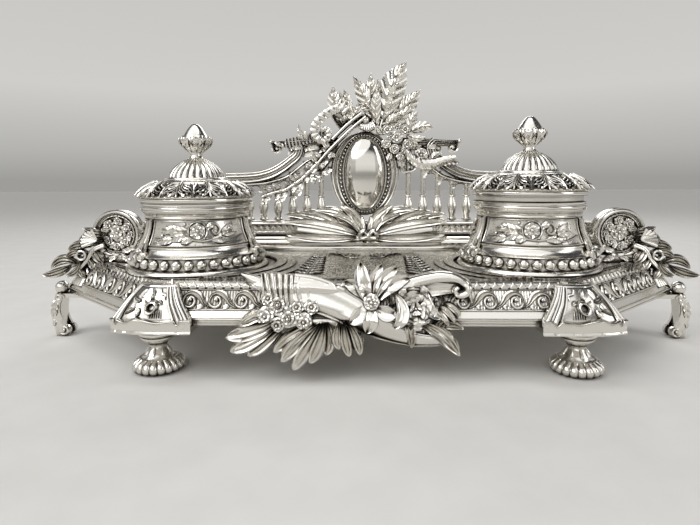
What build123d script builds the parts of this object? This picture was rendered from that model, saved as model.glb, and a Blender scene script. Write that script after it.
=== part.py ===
from build123d import *
import os
from math import cos, hypot, radians, sin, sqrt, tan

# Desk inkstand of silvered brass castings: a six-cornered tray on feet, two bell-shaped
# inkwells that lift out, each with a glass liner and a lift-off lid, and a pierced gallery
# with foliage behind them. X runs along the tray, Y from front to back, Z up. The origin
# is on the table under the middle of the tray. Everything is in millimetres.

# ---- tray plan: a long hexagon whose end corners lie on the X axis
tray_half_length = 144.5      # middle to end corner, at the foot of the skirt
tray_half_depth = 55.0        # middle to front edge, at the foot of the skirt
rake = radians(42.0)          # the side edges run back at this angle from the front edge

# ---- tray heights and the skirt's section
field_z = 36.5                # top of the flat field that the inkwells stand on
field_thickness = 2.0
skirt_z = 21.0                # lowest edge of the skirt
foot_rim_height = 3.0
cove_height = 2.3
cove_depth = 1.8
frieze_height = 7.4
frieze_lean = 3.8             # how far the frieze leans in from bottom to top
rim_width = 3.9
skirt_wall = 1.9

# ---- inkwell seats: shallow stepped rings on the field; the wells stand loose inside them
seat_x = 74.5
seat_y = -12.5
left_well_place = (-75.8, -13.0)
right_well_place = (73.3, -11.5)
seat_inner_r = 34.0
seat_outer_r = 47.0
seat_step = 0.5
seat_steps = 3
seat_end_x = 104.0            # the rings stop here, short of the end scrolls

# ---- corner blocks, feet and end legs
block_reach = 5.5             # how far the block's lip stands out from the skirt
block_z = 19.0
block_front_run = 20.5
block_side_run = 10.5
block_bottom_turn = radians(17.0)   # the side face's turn at the lip: less than the tray's rake
block_top_z = 36.0
block_lip_height = 3.5
block_flange = 2.0
foot_from_front = 10.5        # foot's axis behind the front edge
foot_from_corner = 0.6        # and inside the corner
foot_r = 10.3
foot_collar_r = 7.1
foot_neck_r = 3.2
foot_spigot_r = 5.5
stud_r = 2.0
stud_clearance = 0.1
stud_bottom_z = 8.0
nut_r = 3.6
nut_height = 2.5
boss_height = 1.5
leg_bulge = 7.0               # how far the end leg bows out past the tray's end corner
leg_width = 6.0
leg_thickness = 4.0
leg_pad_out = 3.5
knob_r = 3.3
knob_out = 3.7
knob_z = 23.6
lug_thickness = 2.0
lug_length = 28.0
end_screw_in = 20.5

# ---- gallery: plinth, rail, turned balusters and curved top rails in one upright plane
gallery_setback = 10.0        # back face, in front of the tray's rear edge
gallery_thickness = 4.0
gallery_end_gap = 2.5         # from the end to the rear corner of the field
plinth_depth = 11.6
plinth_top_z = 44.0
plinth_steps = 3
rail_top_z = 53.0
baluster_end_room = 4.3696    # from the last baluster's middle to the gallery's end
first_baluster = 3            # the nearest one stands this many pitches from the middle
baluster_count = 7
baluster_r = 1.9
baluster_neck_r = 1.0
baluster_foot = 1.2
baluster_vase = 7.6           # height of the vase's widest part
top_rail_z = 79.5
top_rail_depth = 6.5
pediment_x = 52.5
pediment_z = 97.4
rail_drawn_length = 77.2696    # half length that the rail's curve is drawn for
oval_z = 78.5
oval_half_width = 19.0
oval_half_height = 23.2
mirror_half_width = 11.2
mirror_half_height = 20.4
mirror_rise = 2.4
mirror_clearance = 0.15
oval_floor = 1.2              # left behind the boss
leaf_thickness = 2.0
gallery_screw_r = 1.5
gallery_screw_head_r = 2.8
gallery_inner_screw_x = 30.0
gallery_screw_end_room = 11.2696
screw_clearance = 0.1

# ---- end walls, their scroll drums and the leaf sprays
wall_inset = 11.5
end_wall_thickness = 3.0
end_wall_z = 54.5
drum_from_end = 25.7
drum_z = 50.1
drum_r = 11.4
drum_half_depth = 4.0
drum_recess = 1.0
drum_rim = 2.0
rosette_r = 6.5
rosette_rise = 2.2
spray_thickness = 2.4

# ---- front mount: a scroll of ribbon with flowers on it and leaves below
mount_plate = 2.2
flower_rise = 3.2
mount_screw_x = (-22.0, 22.0)
mount_screw_r = 1.3
mount_screw_head_r = 2.4
mount_screw_head_height = 1.4
mount_screw_z = 29.0
mount_screw_tip = 1.2         # its tip lies this far behind the foot of the skirt
mount_screw_seat = 6.5        # and its head this far

# ---- inkwells: heights are above the field
well_foot_r = 31.0
bead_band_r = 29.4
bead_low = 2.5
bead_high = 7.2
bell_low = 11.2
bell_low_r = 25.7
bell_high = 22.9
bell_high_r = 21.9
bell_waist_r = 22.9           # at half height
collar_low = 26.2
collar_r = 24.2
collar_top = 29.3
well_wall = 1.7
mouth_r = 22.9
mouth_depth = 3.5
throat_r = 19.3

liner_clearance = 0.35
liner_wall = 2.2
liner_flange = 1.2
liner_depth = 25.0

sleeve_clearance = 0.08       # running fit of the lid's sleeve in the mouth
sleeve_wall = 0.8
sleeve_gap = 0.4              # from the liner's flange to the sleeve
lid_rim_r = 24.3
lid_rim_height = 2.4
lid_leaf_r = 26.2
lid_leaf_top = 9.1            # above the collar
lid_leaf_top_r = 16.4
lid_dome_base = 11.2
lid_dome_r = 12.1
lid_dome_top = 19.6
lid_dome_top_r = 3.2
lid_wall = 1.7
lid_ajar = 2.4                # the right lid stands this much open, held by its sleeve

finial_height = 15.6
finial_r = 7.1
finial_neck_r = 2.5
finial_foot_r = 3.2
thread_r = 1.6
thread_clearance = 0.06
finial_nut_r = 3.0
finial_nut_height = 1.8

field_bottom_z = field_z - field_thickness
frieze_low_z = skirt_z + foot_rim_height + cove_height
frieze_high_z = frieze_low_z + frieze_height
rim_inset = cove_depth + frieze_lean
field_inset = rim_inset + rim_width
collar_z = field_z + collar_top

foot_x = tray_half_length - tray_half_depth / tan(rake) - foot_from_corner
foot_y = foot_from_front - tray_half_depth
drum_x = tray_half_length - drum_from_end
end_screw_x = tray_half_length - end_screw_in
gallery_back_y = tray_half_depth - gallery_setback
gallery_front_y = gallery_back_y - gallery_thickness
plinth_front_y = gallery_back_y - plinth_depth
rear_corner_x = tray_half_length - field_inset / sin(rake) - (tray_half_depth - field_inset) / tan(rake)
gallery_half_length = rear_corner_x - gallery_end_gap
baluster_pitch = (gallery_half_length - baluster_end_room) / (first_baluster + baluster_count - 1)
gallery_screw_x = (gallery_inner_screw_x, gallery_half_length - gallery_screw_end_room)
gallery_screw_y = (gallery_front_y + gallery_back_y) / 2 - 1.5
gallery_screw_top_z = plinth_top_z - 2.5
stud_top_z = skirt_z + boss_height + nut_height + 1.0

nodes = {}


# ---------------------------------------------------------------- plan and section helpers

def end_corner(inset):
    """Right-hand end corner of the tray outline, moved in by inset."""
    return (tray_half_length - inset / sin(rake), 0)


def front_corner(inset):
    """Front right corner of the tray outline, moved in by inset."""
    y = -(tray_half_depth - inset)
    return (end_corner(inset)[0] + y / tan(rake), y)


def outline(inset):
    """The six corners, anticlockwise from the front left."""
    (fx, fy), (ex, _) = front_corner(inset), end_corner(inset)
    return [(-fx, fy), (fx, fy), (ex, 0), (fx, -fy), (-fx, -fy), (-ex, 0)]


def prism(points, low, high):
    return Pos(0, 0, low) * extrude(make_face(Polyline(*points, close=True)), high - low)


def box(x, y, z):
    """A block from its two limits along each axis."""
    size = Box(x[1] - x[0], y[1] - y[0], z[1] - z[0])
    return Pos((x[0] + x[1]) / 2, (y[0] + y[1]) / 2, (z[0] + z[1]) / 2) * size


def rod(radius, low, high, x=0, y=0):
    """An upright cylinder."""
    return Pos(x, y, (low + high) / 2) * Cylinder(radius, high - low)


def turned(*curves):
    """A solid of revolution about Z from (radius, height) curves that close on themselves."""
    return revolve(Plane.XZ * make_face(list(curves)), Axis.Z)


def upright(shape, back_y, thickness):
    """A plate cut to an (x, z) shape, with its back face at back_y."""
    return Pos(0, back_y, 0) * extrude(Plane.XZ * shape, thickness)


def leaf(base, tip, half_width):
    """A pointed leaf between two (x, z) points."""
    dx, dz = tip[0] - base[0], tip[1] - base[1]
    length = hypot(dx, dz)
    middle = ((base[0] + tip[0]) / 2, (base[1] + tip[1]) / 2)
    side = (-dz / length * half_width, dx / length * half_width)
    left = (middle[0] + side[0], middle[1] + side[1])
    right = (middle[0] - side[0], middle[1] - side[1])
    return make_face([ThreePointArc(base, left, tip), ThreePointArc(tip, right, base)])


def round_patch(centre, radius):
    return Pos(*centre) * Circle(radius)


def fused(shapes):
    first, *rest = shapes
    for shape in rest:
        first = first + shape
    return first


def mirrored(part):
    return mirror(part, about=Plane.YZ)


def add(name, part):
    """Keep a finished piece under its name."""
    part.label = name
    nodes[name] = part
    return part


def add_pair(name, part):
    """Keep a right-hand piece and its mirror image."""
    add("right_" + name, part)
    add("left_" + name, mirrored(part))
    return part


# ---------------------------------------------------------------- tray

def skirt_outer_points():
    """The outer line of the skirt's section, as (inset, height), from the bottom up."""
    return [
        (0, skirt_z),
        (0, skirt_z + foot_rim_height),
        (cove_depth, frieze_low_z),
        (rim_inset, frieze_high_z),
        (rim_inset - 0.4, frieze_high_z + 0.9),
        (rim_inset + 0.2, field_z - 0.6),
        (rim_inset + 1.2, field_z),
        (field_inset, field_z),
    ]


def skirt_section():
    """The whole section of the skirt: a wall of even thickness under a solid top rim."""
    inner = [
        (field_inset, field_bottom_z),
        (rim_inset + skirt_wall, frieze_high_z),
        (cove_depth + skirt_wall, frieze_low_z - 0.4),
        (skirt_wall, frieze_low_z - cove_height),
        (skirt_wall, skirt_z),
    ]
    return make_face(Polyline(*skirt_outer_points(), *inner, close=True))


def skirt_envelope():
    """The section filled in behind, for cutting what laps over the skirt."""
    back = field_inset + 20
    return make_face(Polyline(*skirt_outer_points(), (back, field_z), (back, skirt_z), close=True))


def along_edge(section, start, end):
    """A section run along one edge of the outline and mitred at both corners."""
    direction = Vector(end[0] - start[0], end[1] - start[1], 0)
    inward = Vector(-direction.Y, direction.X, 0).normalized()
    plane = Plane(origin=(start[0], start[1], 0), x_dir=inward, z_dir=direction.normalized())
    return extrude(plane * section, direction.length)


def skirt_piece(index, section):
    outer, inner = outline(0), outline(field_inset + 1)
    following = (index + 1) % 6
    run = along_edge(section, outer[index], outer[following])
    mitre = [outer[index], outer[following], inner[following], inner[index]]
    return run & prism(mitre, skirt_z - 1, field_z + 1)


def tray_plate():
    plate = prism(outline(field_inset), field_bottom_z, field_z)
    for x in gallery_screw_x:
        for side in (-1, 1):
            plate -= rod(gallery_screw_r + screw_clearance, field_bottom_z, field_z,
                         side * x, gallery_screw_y)
    return plate


def seat_ring():
    """Stepped rings round the right-hand inkwell, cut off by the tray's edges."""
    width = (seat_outer_r - seat_inner_r) / seat_steps
    rings = [
        rod(seat_outer_r - width * step, field_z + seat_step * step,
            field_z + seat_step * (step + 1), seat_x, seat_y)
        for step in range(seat_steps)
    ]
    ring = fused(rings) - rod(seat_inner_r, field_z - 1, field_z + 10, seat_x, seat_y)
    top = field_z + seat_step * seat_steps
    ring &= prism(outline(field_inset + 0.3), field_z, top)
    return ring & box((0, seat_end_x), (-tray_half_depth, plinth_front_y - 0.3), (field_z, top))


# ---------------------------------------------------------------- corner blocks, feet, legs

def block_section(reach, front_run, side_run, turn, depth):
    """Plan of the front right corner block at one height: its side face turns back by turn."""
    corner = front_corner(-reach)
    start = (corner[0] - front_run, corner[1])
    end = (corner[0] + side_run * cos(turn), corner[1] + side_run * sin(turn))
    end_in = (end[0] - depth * sin(turn), end[1] + depth * cos(turn))
    start_in = (start[0], start[1] + depth)
    return [start, corner, end, end_in, front_corner(depth - reach), start_in]


def corner_block():
    """A bombe block lapped over the front right corner, with a flange under it for the foot."""
    lip_z = block_z + block_lip_height
    waist_z = (lip_z + block_top_z) / 2
    sections = [
        (block_z, block_reach, 1.0, 0),
        (lip_z, block_reach - 0.6, 0.98, 0.04),
        (waist_z, 0.4, 0.8, 0.55),
        (block_top_z, 1.5 - rim_inset, 0.65, 1),
    ]
    faces = []
    for z, reach, share, turned_share in sections:
        turn = block_bottom_turn + (rake - block_bottom_turn) * turned_share
        plan = block_section(reach, block_front_run * share, block_side_run * share, turn, 16)
        faces.append(Pos(0, 0, z) * make_face(Polyline(*plan, close=True)))
    skin = loft(faces, ruled=True)
    corners = outline(0)
    skin -= along_edge(skirt_envelope(), corners[0], corners[1])
    skin -= along_edge(skirt_envelope(), corners[1], corners[2])
    skin &= box((0, 200), (-200, 0), (block_z, block_top_z))
    skin -= prism(outline(2), skirt_z, field_z + 5)
    plan = block_section(block_reach, block_front_run, block_side_run, block_bottom_turn, 24)
    flange = prism(plan, block_z, block_z + block_flange)
    boss = rod(nut_r + 1, block_z, skirt_z + boss_height, foot_x, foot_y)
    hole = rod(stud_r + stud_clearance, 0, field_bottom_z, foot_x, foot_y)
    return skin + flange + boss - hole


def turned_foot():
    """A turned foot: swelling base, narrow neck and a collar under the block."""
    neck_z = 8.4
    collar_low_z, collar_high_z = 12.4, 14.6
    base_top = (foot_neck_r + 1.6, 6.8)
    foot = turned(
        Line((0, 0), (foot_r - 0.8, 0)),
        ThreePointArc((foot_r - 0.8, 0), (foot_r, 1.9), (foot_r - 0.6, 3.9)),
        ThreePointArc((foot_r - 0.6, 3.9), (foot_r - 3.2, 6.0), base_top),
        ThreePointArc(base_top, (foot_neck_r, neck_z), (foot_neck_r + 1.2, 10.2)),
        ThreePointArc((foot_neck_r + 1.2, 10.2), (foot_neck_r + 2.6, 11.6),
                      (foot_collar_r, collar_low_z)),
        Polyline((foot_collar_r, collar_low_z), (foot_collar_r, collar_high_z),
                 (foot_spigot_r, collar_high_z + 0.6), (foot_spigot_r, block_z),
                 (0, block_z), (0, 0)),
    )
    foot -= rod(stud_r + stud_clearance, stud_bottom_z, block_z)
    return Pos(foot_x, foot_y, 0) * foot


def stud():
    return rod(stud_r, stud_bottom_z, stud_top_z, foot_x, foot_y)


def nut():
    hexagon = extrude(RegularPolygon(nut_r, 6), nut_height)
    hexagon -= rod(stud_r + stud_clearance, 0, nut_height)
    return Pos(foot_x, foot_y, skirt_z + boss_height) * hexagon


def end_leg():
    """A bowed leg under the end corner, with a ball at its shoulder and a lug for its screw."""
    top_z = skirt_z
    bulge_x = tray_half_length + leg_bulge
    pad_x = tray_half_length + leg_pad_out
    shoulder_x = bulge_x - 1.5
    outer_top, outer_foot = (shoulder_x, top_z), (pad_x + 2.4, 0)
    inner_foot, inner_top = (pad_x - 2.4, 0), (shoulder_x - leg_thickness, top_z)
    middle_z = top_z / 2
    bow = make_face([
        ThreePointArc(outer_top, (bulge_x, middle_z), outer_foot),
        Line(outer_foot, inner_foot),
        ThreePointArc(inner_foot, (bulge_x - leg_thickness, middle_z), inner_top),
        Line(inner_top, outer_top),
    ])
    leg = upright(bow, leg_width / 2, leg_width)
    lug = box((shoulder_x - lug_length, shoulder_x - 0.5), (-leg_width / 2, leg_width / 2),
              (top_z - lug_thickness, top_z))
    leg += lug
    leg += rod(nut_r, top_z - lug_thickness, skirt_z + boss_height, end_screw_x)
    leg += Pos(tray_half_length + knob_out, 0, knob_z) * Sphere(knob_r)
    leg -= rod(gallery_screw_r + screw_clearance, 0, field_bottom_z, end_screw_x)
    return leg


def end_screw():
    """The screw that draws the end leg's lug up to the tray plate."""
    top = field_bottom_z
    shank = rod(gallery_screw_r, skirt_z - lug_thickness, top, end_screw_x)
    head_low = skirt_z - lug_thickness - 1.6
    return shank + rod(gallery_screw_head_r, head_low, skirt_z - lug_thickness, end_screw_x)


# ---------------------------------------------------------------- gallery

def gallery_plinth():
    """Three steps up to the rail, across the back of the field."""
    rise = (plinth_top_z - field_z) / plinth_steps
    going = (gallery_front_y - 1 - plinth_front_y) / plinth_steps
    steps = [
        box((-gallery_half_length, gallery_half_length),
            (plinth_front_y + going * step, gallery_back_y),
            (field_z + rise * step, field_z + rise * (step + 1)))
        for step in range(plinth_steps)
    ]
    plinth = fused(steps)
    for x in gallery_screw_x:
        for side in (-1, 1):
            plinth -= rod(gallery_screw_r + screw_clearance, field_z,
                          gallery_screw_top_z + 0.5, side * x, gallery_screw_y)
    return plinth


def gallery_screws():
    screws = []
    for x in gallery_screw_x:
        for side in (-1, 1):
            shank = rod(gallery_screw_r, field_bottom_z, gallery_screw_top_z, side * x, gallery_screw_y)
            head = rod(gallery_screw_head_r, field_bottom_z - 1.6, field_bottom_z,
                       side * x, gallery_screw_y)
            screws.append(shank + head)
    return screws


def bottom_rail():
    """The rail under the balusters, with a small block that carries the oval frame."""
    rail = box((-gallery_half_length, gallery_half_length), (gallery_front_y, gallery_back_y),
               (plinth_top_z, rail_top_z))
    block = box((-6, 6), (gallery_front_y, gallery_back_y), (rail_top_z, oval_z - oval_half_height + 2))
    return rail + block - oval_blank(0)


def oval_blank(clearance):
    """The oval frame's outer form, as thick as the gallery."""
    shape = Pos(0, oval_z) * Ellipse(oval_half_width + clearance, oval_half_height + clearance)
    return upright(shape, gallery_back_y, gallery_back_y - gallery_front_y)


def oval_frame():
    """An oval tray with a raised edge: the polished boss lies in its pocket."""
    pocket = Pos(0, oval_z) * Ellipse(mirror_half_width + mirror_clearance,
                                      mirror_half_height + mirror_clearance)
    return oval_blank(0) - upright(pocket, gallery_back_y - oval_floor, 20)


def oval_mirror():
    """The polished boss: an oval disc whose face rises in shallow bevelled steps."""
    back_y = gallery_back_y - oval_floor
    layers = [upright(Pos(0, oval_z) * Ellipse(mirror_half_width, mirror_half_height),
                      back_y, back_y - gallery_front_y)]
    bevels = 3
    for bevel in range(1, bevels + 1):
        share = sqrt(1 - (bevel / (bevels + 0.5)) ** 2)
        shape = Pos(0, oval_z) * Ellipse(mirror_half_width * share, mirror_half_height * share)
        front_y = gallery_front_y - mirror_rise * (bevel - 1) / bevels
        layers.append(upright(shape, front_y, mirror_rise / bevels))
    return fused(layers)


def top_rail_shape():
    """The right-hand top rail: level at the end, sweeping up to the pediment's horn."""
    end_x = gallery_half_length
    share = gallery_half_length / rail_drawn_length
    horn_x = pediment_x * share
    upper = Spline((end_x, top_rail_z), (64.5 * share, top_rail_z), (53 * share, 82.0),
                   (45.5 * share, 86.5), (42.5 * share, 90.5), (46.5 * share, 93.4),
                   (horn_x, pediment_z))
    inner_top = (14, pediment_z + 1.2)
    low_z = top_rail_z - top_rail_depth
    lower = Spline((24 * share, 88), (32 * share, 86.5), (37.5 * share, 82.3), (45 * share, 77.4),
                   (56 * share, 74.1), (66 * share, low_z), (end_x, low_z))
    return make_face([
        upper,
        Line((horn_x, pediment_z), (horn_x - 8, pediment_z + 1.2)),
        Line((horn_x - 8, pediment_z + 1.2), inner_top),
        Line(inner_top, (14, 88)),
        Line((14, 88), (24 * share, 88)),
        lower,
        Line((end_x, low_z), (end_x, top_rail_z)),
    ])


def top_rail():
    rail = upright(top_rail_shape(), gallery_back_y - 0.3, gallery_back_y - gallery_front_y - 0.3)
    return rail - oval_blank(0)


def baluster(height):
    """A turned baluster: vase below, slim neck above."""
    ankle = baluster_foot + 0.6
    throat = 2 * baluster_vase - ankle
    return turned(
        Polyline((0, 0), (baluster_r, 0), (baluster_r, baluster_foot), (baluster_neck_r, ankle)),
        ThreePointArc((baluster_neck_r, ankle), (baluster_r, baluster_vase), (baluster_neck_r, throat)),
        Polyline((baluster_neck_r, throat), (baluster_neck_r, height), (0, height), (0, 0)),
    )


def balusters(rail):
    """The right-hand row, each run up into the curved rail and trimmed by it."""
    middle_y = (gallery_front_y + gallery_back_y) / 2
    row = []
    for index in range(baluster_count):
        x = min((first_baluster + index) * baluster_pitch, gallery_half_length - baluster_r - 0.2)
        post = Pos(x, middle_y, rail_top_z) * baluster(pediment_z - rail_top_z)
        row.append((post - rail).solids().sort_by(Axis.Z)[0])
    return row


def gallery_leaves():
    """The fan of leaves over the oval frame."""
    fan = [
        ((4, 99), (23.0, 139.0), 6.5), ((8, 99), (30.5, 124.5), 5.0), ((2, 99), (4.0, 133.5), 4.5),
        ((0, 99), (-6.5, 131.5), 4.0), ((-2, 98), (-17.0, 126.5), 4.5), ((-4, 98), (-12.5, 118.5), 4.5),
        ((6, 98), (28.0, 112.5), 4.0), ((8, 96), (37.5, 105.0), 4.0),
    ]
    shape = fused([leaf(*entry) for entry in fan])
    return upright(shape, gallery_front_y, leaf_thickness)


def gallery_ribbon(taken):
    """The ribbon, staff and leafy branch that sweep down to the left."""
    lengths = [
        ((2, 103), (-19.0, 114.0), 3.0), ((-14, 113.5), (-32.0, 111.0), 3.4),
        ((-17, 110), (-26.0, 100.0), 4.2), ((2, 110), (-18.0, 94.5), 2.2),
        ((-14, 98), (-30.0, 83.0), 3.2), ((-26, 86), (-45.0, 73.5), 3.4), ((-41, 76), (-56.5, 67.0), 2.8),
        ((-26, 103), (-37.0, 106.0), 1.8),
    ]
    shape = fused([leaf(*entry) for entry in lengths])
    return upright(shape, gallery_front_y, leaf_thickness) - taken


def gallery_flowers(taken):
    """The flower cluster by the frame, the rosette and the garland along the right-hand rail."""
    patches = [
        ((12.5, 102), 4.6), ((17, 97), 4.6), ((21, 102.5), 4.0), ((22, 92.5), 4.2), ((28, 90.5), 4.0),
        ((31.5, 89.0), 4.6), ((38, 85.5), 3.4), ((44, 84), 3.4), ((49.5, 84.5), 3.0),
    ]
    shape = fused([round_patch(*entry) for entry in patches])
    return upright(shape, gallery_front_y, leaf_thickness) - taken


def gallery_swag():
    """Leaves that cradle the foot of the oval, and the long sprays along the rail."""
    blades = [
        ((0, 46), (-15.0, 61.5), 4.6), ((0, 46), (15.0, 61.5), 4.6), ((0, 46), (0, 57.0), 4.0),
        ((0, 47.5), (-46.0, 51.0), 3.0), ((0, 47.5), (46.0, 52.0), 3.0),
        ((0, 46.5), (-42.5, 46.0), 2.4), ((0, 46.5), (38.5, 45.6), 2.4),
    ]
    shape = fused([leaf(*entry) for entry in blades])
    swag = upright(shape, gallery_front_y, leaf_thickness + 0.4)
    mirror_clear = Pos(0, oval_z) * Ellipse(mirror_half_width + 1, mirror_half_height + 1)
    return swag - upright(mirror_clear, gallery_front_y + 1, 20) - nodes["gallery_plinth"]


# ---------------------------------------------------------------- end walls, drums, sprays

def end_wall():
    """The low wall along the raked rear edge, from the gallery to the scroll drum."""
    inner, outer = outline(wall_inset + end_wall_thickness), outline(wall_inset)
    plan = [outer[2], outer[3], inner[3], inner[2]]
    wall = prism(plan, field_z, end_wall_z)
    wall -= box((0, gallery_half_length + 0.1), (0, 100), (0, 200))
    wall -= box((0, 200), (gallery_back_y, 100), (0, 200))
    return wall - box((0, 200), (-100, drum_half_depth), (0, 200))


def scroll_drum():
    """A short drum with a sunk face, on a low plinth at the tray's end."""
    across = Rot(90, 0, 0)
    drum = Pos(drum_x, 0, drum_z) * across * Cylinder(drum_r, 2 * drum_half_depth)
    face = Pos(drum_x, -drum_half_depth, drum_z) * across * Cylinder(drum_r - drum_rim, 2 * drum_recess)
    plinth_reach = 4.5
    plinth = box((drum_x - drum_r * 0.7, drum_x + plinth_reach),
                 (-drum_half_depth, drum_half_depth), (field_z, drum_z - drum_r * 0.6))
    return drum + plinth - face


def drum_rosette():
    """A flower in the drum's face: a domed eye ringed by petals."""
    base_y = drum_recess - drum_half_depth
    shapes = [Circle(rosette_r * 0.55)]
    petals = 6
    petal = Pos(rosette_r * 0.62, 0) * Circle(rosette_r * 0.38)
    for index in range(petals):
        shapes.append(Rot(0, 0, index * 360 / petals) * petal)
    flower = upright(Pos(drum_x, drum_z) * fused(shapes), base_y, rosette_rise)
    eye = Pos(drum_x, base_y - rosette_rise, drum_z) * scale(Sphere(1), by=(2.2, 1.3, 2.2))
    return flower + eye


def side_spray():
    """Leaves that trail from the drum over the tray's end."""
    blades = [
        ((2.2, 7.4), (17.2, -2.1), 2.8), ((7.7, 0.9), (22.7, -9.1), 3.6), ((16.2, -4.6), (30.2, -16.1), 3.0),
        ((24.2, -10.6), (35.7, -19.6), 2.2), ((8.2, -2.6), (18.2, -12.6), 3.2),
    ]
    shape = Pos(drum_x, drum_z) * fused([leaf(*entry) for entry in blades])
    spray = upright(shape, -drum_half_depth, spray_thickness)
    reach = rosette_r + 1
    around = (drum_x - reach, drum_x + reach), (-20, 0), (drum_z - reach, drum_z + reach)
    return spray - box(*around)


# ---------------------------------------------------------------- front mount

def leaning():
    """The plane that lies on the skirt's two rims at the front, with its normal outwards."""
    low = Vector(0, -tray_half_depth, skirt_z + foot_rim_height)
    high = Vector(0, -(tray_half_depth - rim_inset + 0.4), frieze_high_z + 0.9)
    up = (high - low).normalized()
    return Plane(origin=low, x_dir=(1, 0, 0), z_dir=Vector(1, 0, 0).cross(up))


def mount_scroll():
    """The broad ribbon that lies across the frieze."""
    plane = leaning()
    pieces = [
        leaf((-42, 8), (-16, 6), 7.0), leaf((-30, 9), (8, -1), 8.0), leaf((-8, 4), (24, 6), 8.0),
        leaf((12, 9), (38.5, 13), 6.0), leaf((-8, 12), (12, 16), 8.0),
    ]
    plate = extrude(plane * fused(pieces), mount_plate)
    lift = 0.1
    plate = Pos(0, -lift, 0) * plate
    plate &= box((-60, 60), (-tray_half_depth - 5, 0), (skirt_z + foot_rim_height - 1.0, 46))
    return plate - mount_screw_holes()


def mount_screw_rod(x, radius, start, end):
    """A rod along Y at a mount screw's place, between two distances behind the skirt's foot."""
    middle_y = (start + end) / 2 - tray_half_depth
    return Pos(x, middle_y, mount_screw_z) * Rot(90, 0, 0) * Cylinder(radius, end - start)


def mount_screw_holes():
    """Clearance holes through the frieze and the ribbon's plate."""
    radius = mount_screw_r + screw_clearance
    return fused([mount_screw_rod(x, radius, -0.5, mount_screw_seat + 5) for x in mount_screw_x])


def mount_screws():
    screws = []
    for x in mount_screw_x:
        shank = mount_screw_rod(x, mount_screw_r, mount_screw_tip, mount_screw_seat)
        head_end = mount_screw_seat + mount_screw_head_height
        head = mount_screw_rod(x, mount_screw_head_r, mount_screw_seat, head_end)
        screws.append(shank + head)
    return screws


def mount_flowers(scroll):
    """Three flowers and a bud, each on the ribbon."""
    plane = leaning()
    heads = [((-29.5, 6.0), 6.2), ((-24, 3.0), 4.5), ((3, 10), 6.0), ((0, 17), 4.0), ((5, 4), 4.5),
             ((17.5, 4.0), 6.4), ((23, 6), 4.0)]
    shape = fused([round_patch(*entry) for entry in heads])
    raised = extrude(plane.offset(mount_plate + 0.1) * shape, flower_rise)
    raised &= box((-60, 60), (-tray_half_depth - 5.3, 0), (skirt_z, 46))
    return raised - scroll


def mount_leaves(scroll, flowers):
    """Leaves that hang below the ribbon from the foot of the skirt."""
    blades = [
        ((-28, 25), (-51.0, 17.0), 3.4), ((-30, 23), (-44.0, 12.5), 3.2), ((-26, 24), (-27.5, 6.0), 4.6),
        ((-24, 24), (-36.0, 9.5), 3.4), ((-22, 24), (-16.0, 9.0), 3.6), ((-14, 24), (-4.0, 12.5), 3.4),
        ((-10, 24), (-11.0, 13.5), 3.0), ((14, 25), (22.0, 14.0), 3.4), ((16, 25), (33.5, 11.5), 4.0),
        ((18, 26), (36.5, 20.5), 2.8),
    ]
    shape = fused([leaf(*entry) for entry in blades])
    band = Pos(0, skirt_z + foot_rim_height / 2) * Rectangle(58, foot_rim_height)
    hanging = upright(shape + band, -tray_half_depth, mount_plate)
    return hanging - scroll - flowers


# ---------------------------------------------------------------- inkwells

def well_body():
    """The bell: beaded foot, concave flanks and a collar, hollow right through."""
    z = field_z
    half = (bell_low + bell_high) / 2
    inner_half_r = bell_waist_r - well_wall - 0.4
    shoulder_z = collar_z - mouth_depth
    foot_r, high_r = well_foot_r, bell_high_r
    return turned(
        Polyline((foot_r - 2.6, z), (foot_r - 0.4, z), (foot_r, z + 0.9), (foot_r - 0.8, z + bead_low)),
        ThreePointArc((foot_r - 0.8, z + bead_low), (bead_band_r + 0.9, z + (bead_low + bead_high) / 2),
                      (bead_band_r - 1.2, z + bead_high)),
        ThreePointArc((bead_band_r - 1.2, z + bead_high), (bell_low_r + 0.6, z + 9.2),
                      (bell_low_r, z + bell_low)),
        ThreePointArc((bell_low_r, z + bell_low), (bell_waist_r, z + half), (high_r, z + bell_high)),
        Polyline((high_r, z + bell_high), (high_r + 0.8, z + bell_high + 1.3),
                 (collar_r, z + collar_low), (collar_r, collar_z), (mouth_r, collar_z),
                 (mouth_r, shoulder_z), (throat_r, shoulder_z), (throat_r, z + bell_high - 1.0)),
        ThreePointArc((throat_r, z + bell_high - 1.0), (inner_half_r, z + half),
                      (bell_low_r - well_wall - 0.2, z + bell_low)),
        Line((bell_low_r - well_wall - 0.2, z + bell_low), (foot_r - 2.6, z + bead_low)),
        Line((foot_r - 2.6, z + bead_low), (foot_r - 2.6, z)),
    )


def well_liner():
    """The glass liner that holds the ink: a cup hung by its flange on the well's shoulder."""
    top = collar_z - mouth_depth + liner_flange
    outer_r = throat_r - liner_clearance
    flange_r = mouth_r - 2 * sleeve_clearance - sleeve_wall - liner_clearance
    bottom = top - liner_flange - liner_depth + mouth_depth
    cup = turned(
        Polyline((0, bottom), (outer_r - 3, bottom)),
        ThreePointArc((outer_r - 3, bottom), (outer_r - 0.88, bottom + 0.88), (outer_r, bottom + 3)),
        Polyline((outer_r, bottom + 3), (outer_r, top - liner_flange), (flange_r, top - liner_flange),
                 (flange_r, top), (outer_r - liner_wall, top), (outer_r - liner_wall, bottom + 5)),
        ThreePointArc((outer_r - liner_wall, bottom + 5),
                      (outer_r - liner_wall - 0.88, bottom + liner_wall + 0.68),
                      (outer_r - liner_wall - 3, bottom + liner_wall)),
        Polyline((outer_r - liner_wall - 3, bottom + liner_wall), (0, bottom + liner_wall), (0, bottom)),
    )
    return cup


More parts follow.
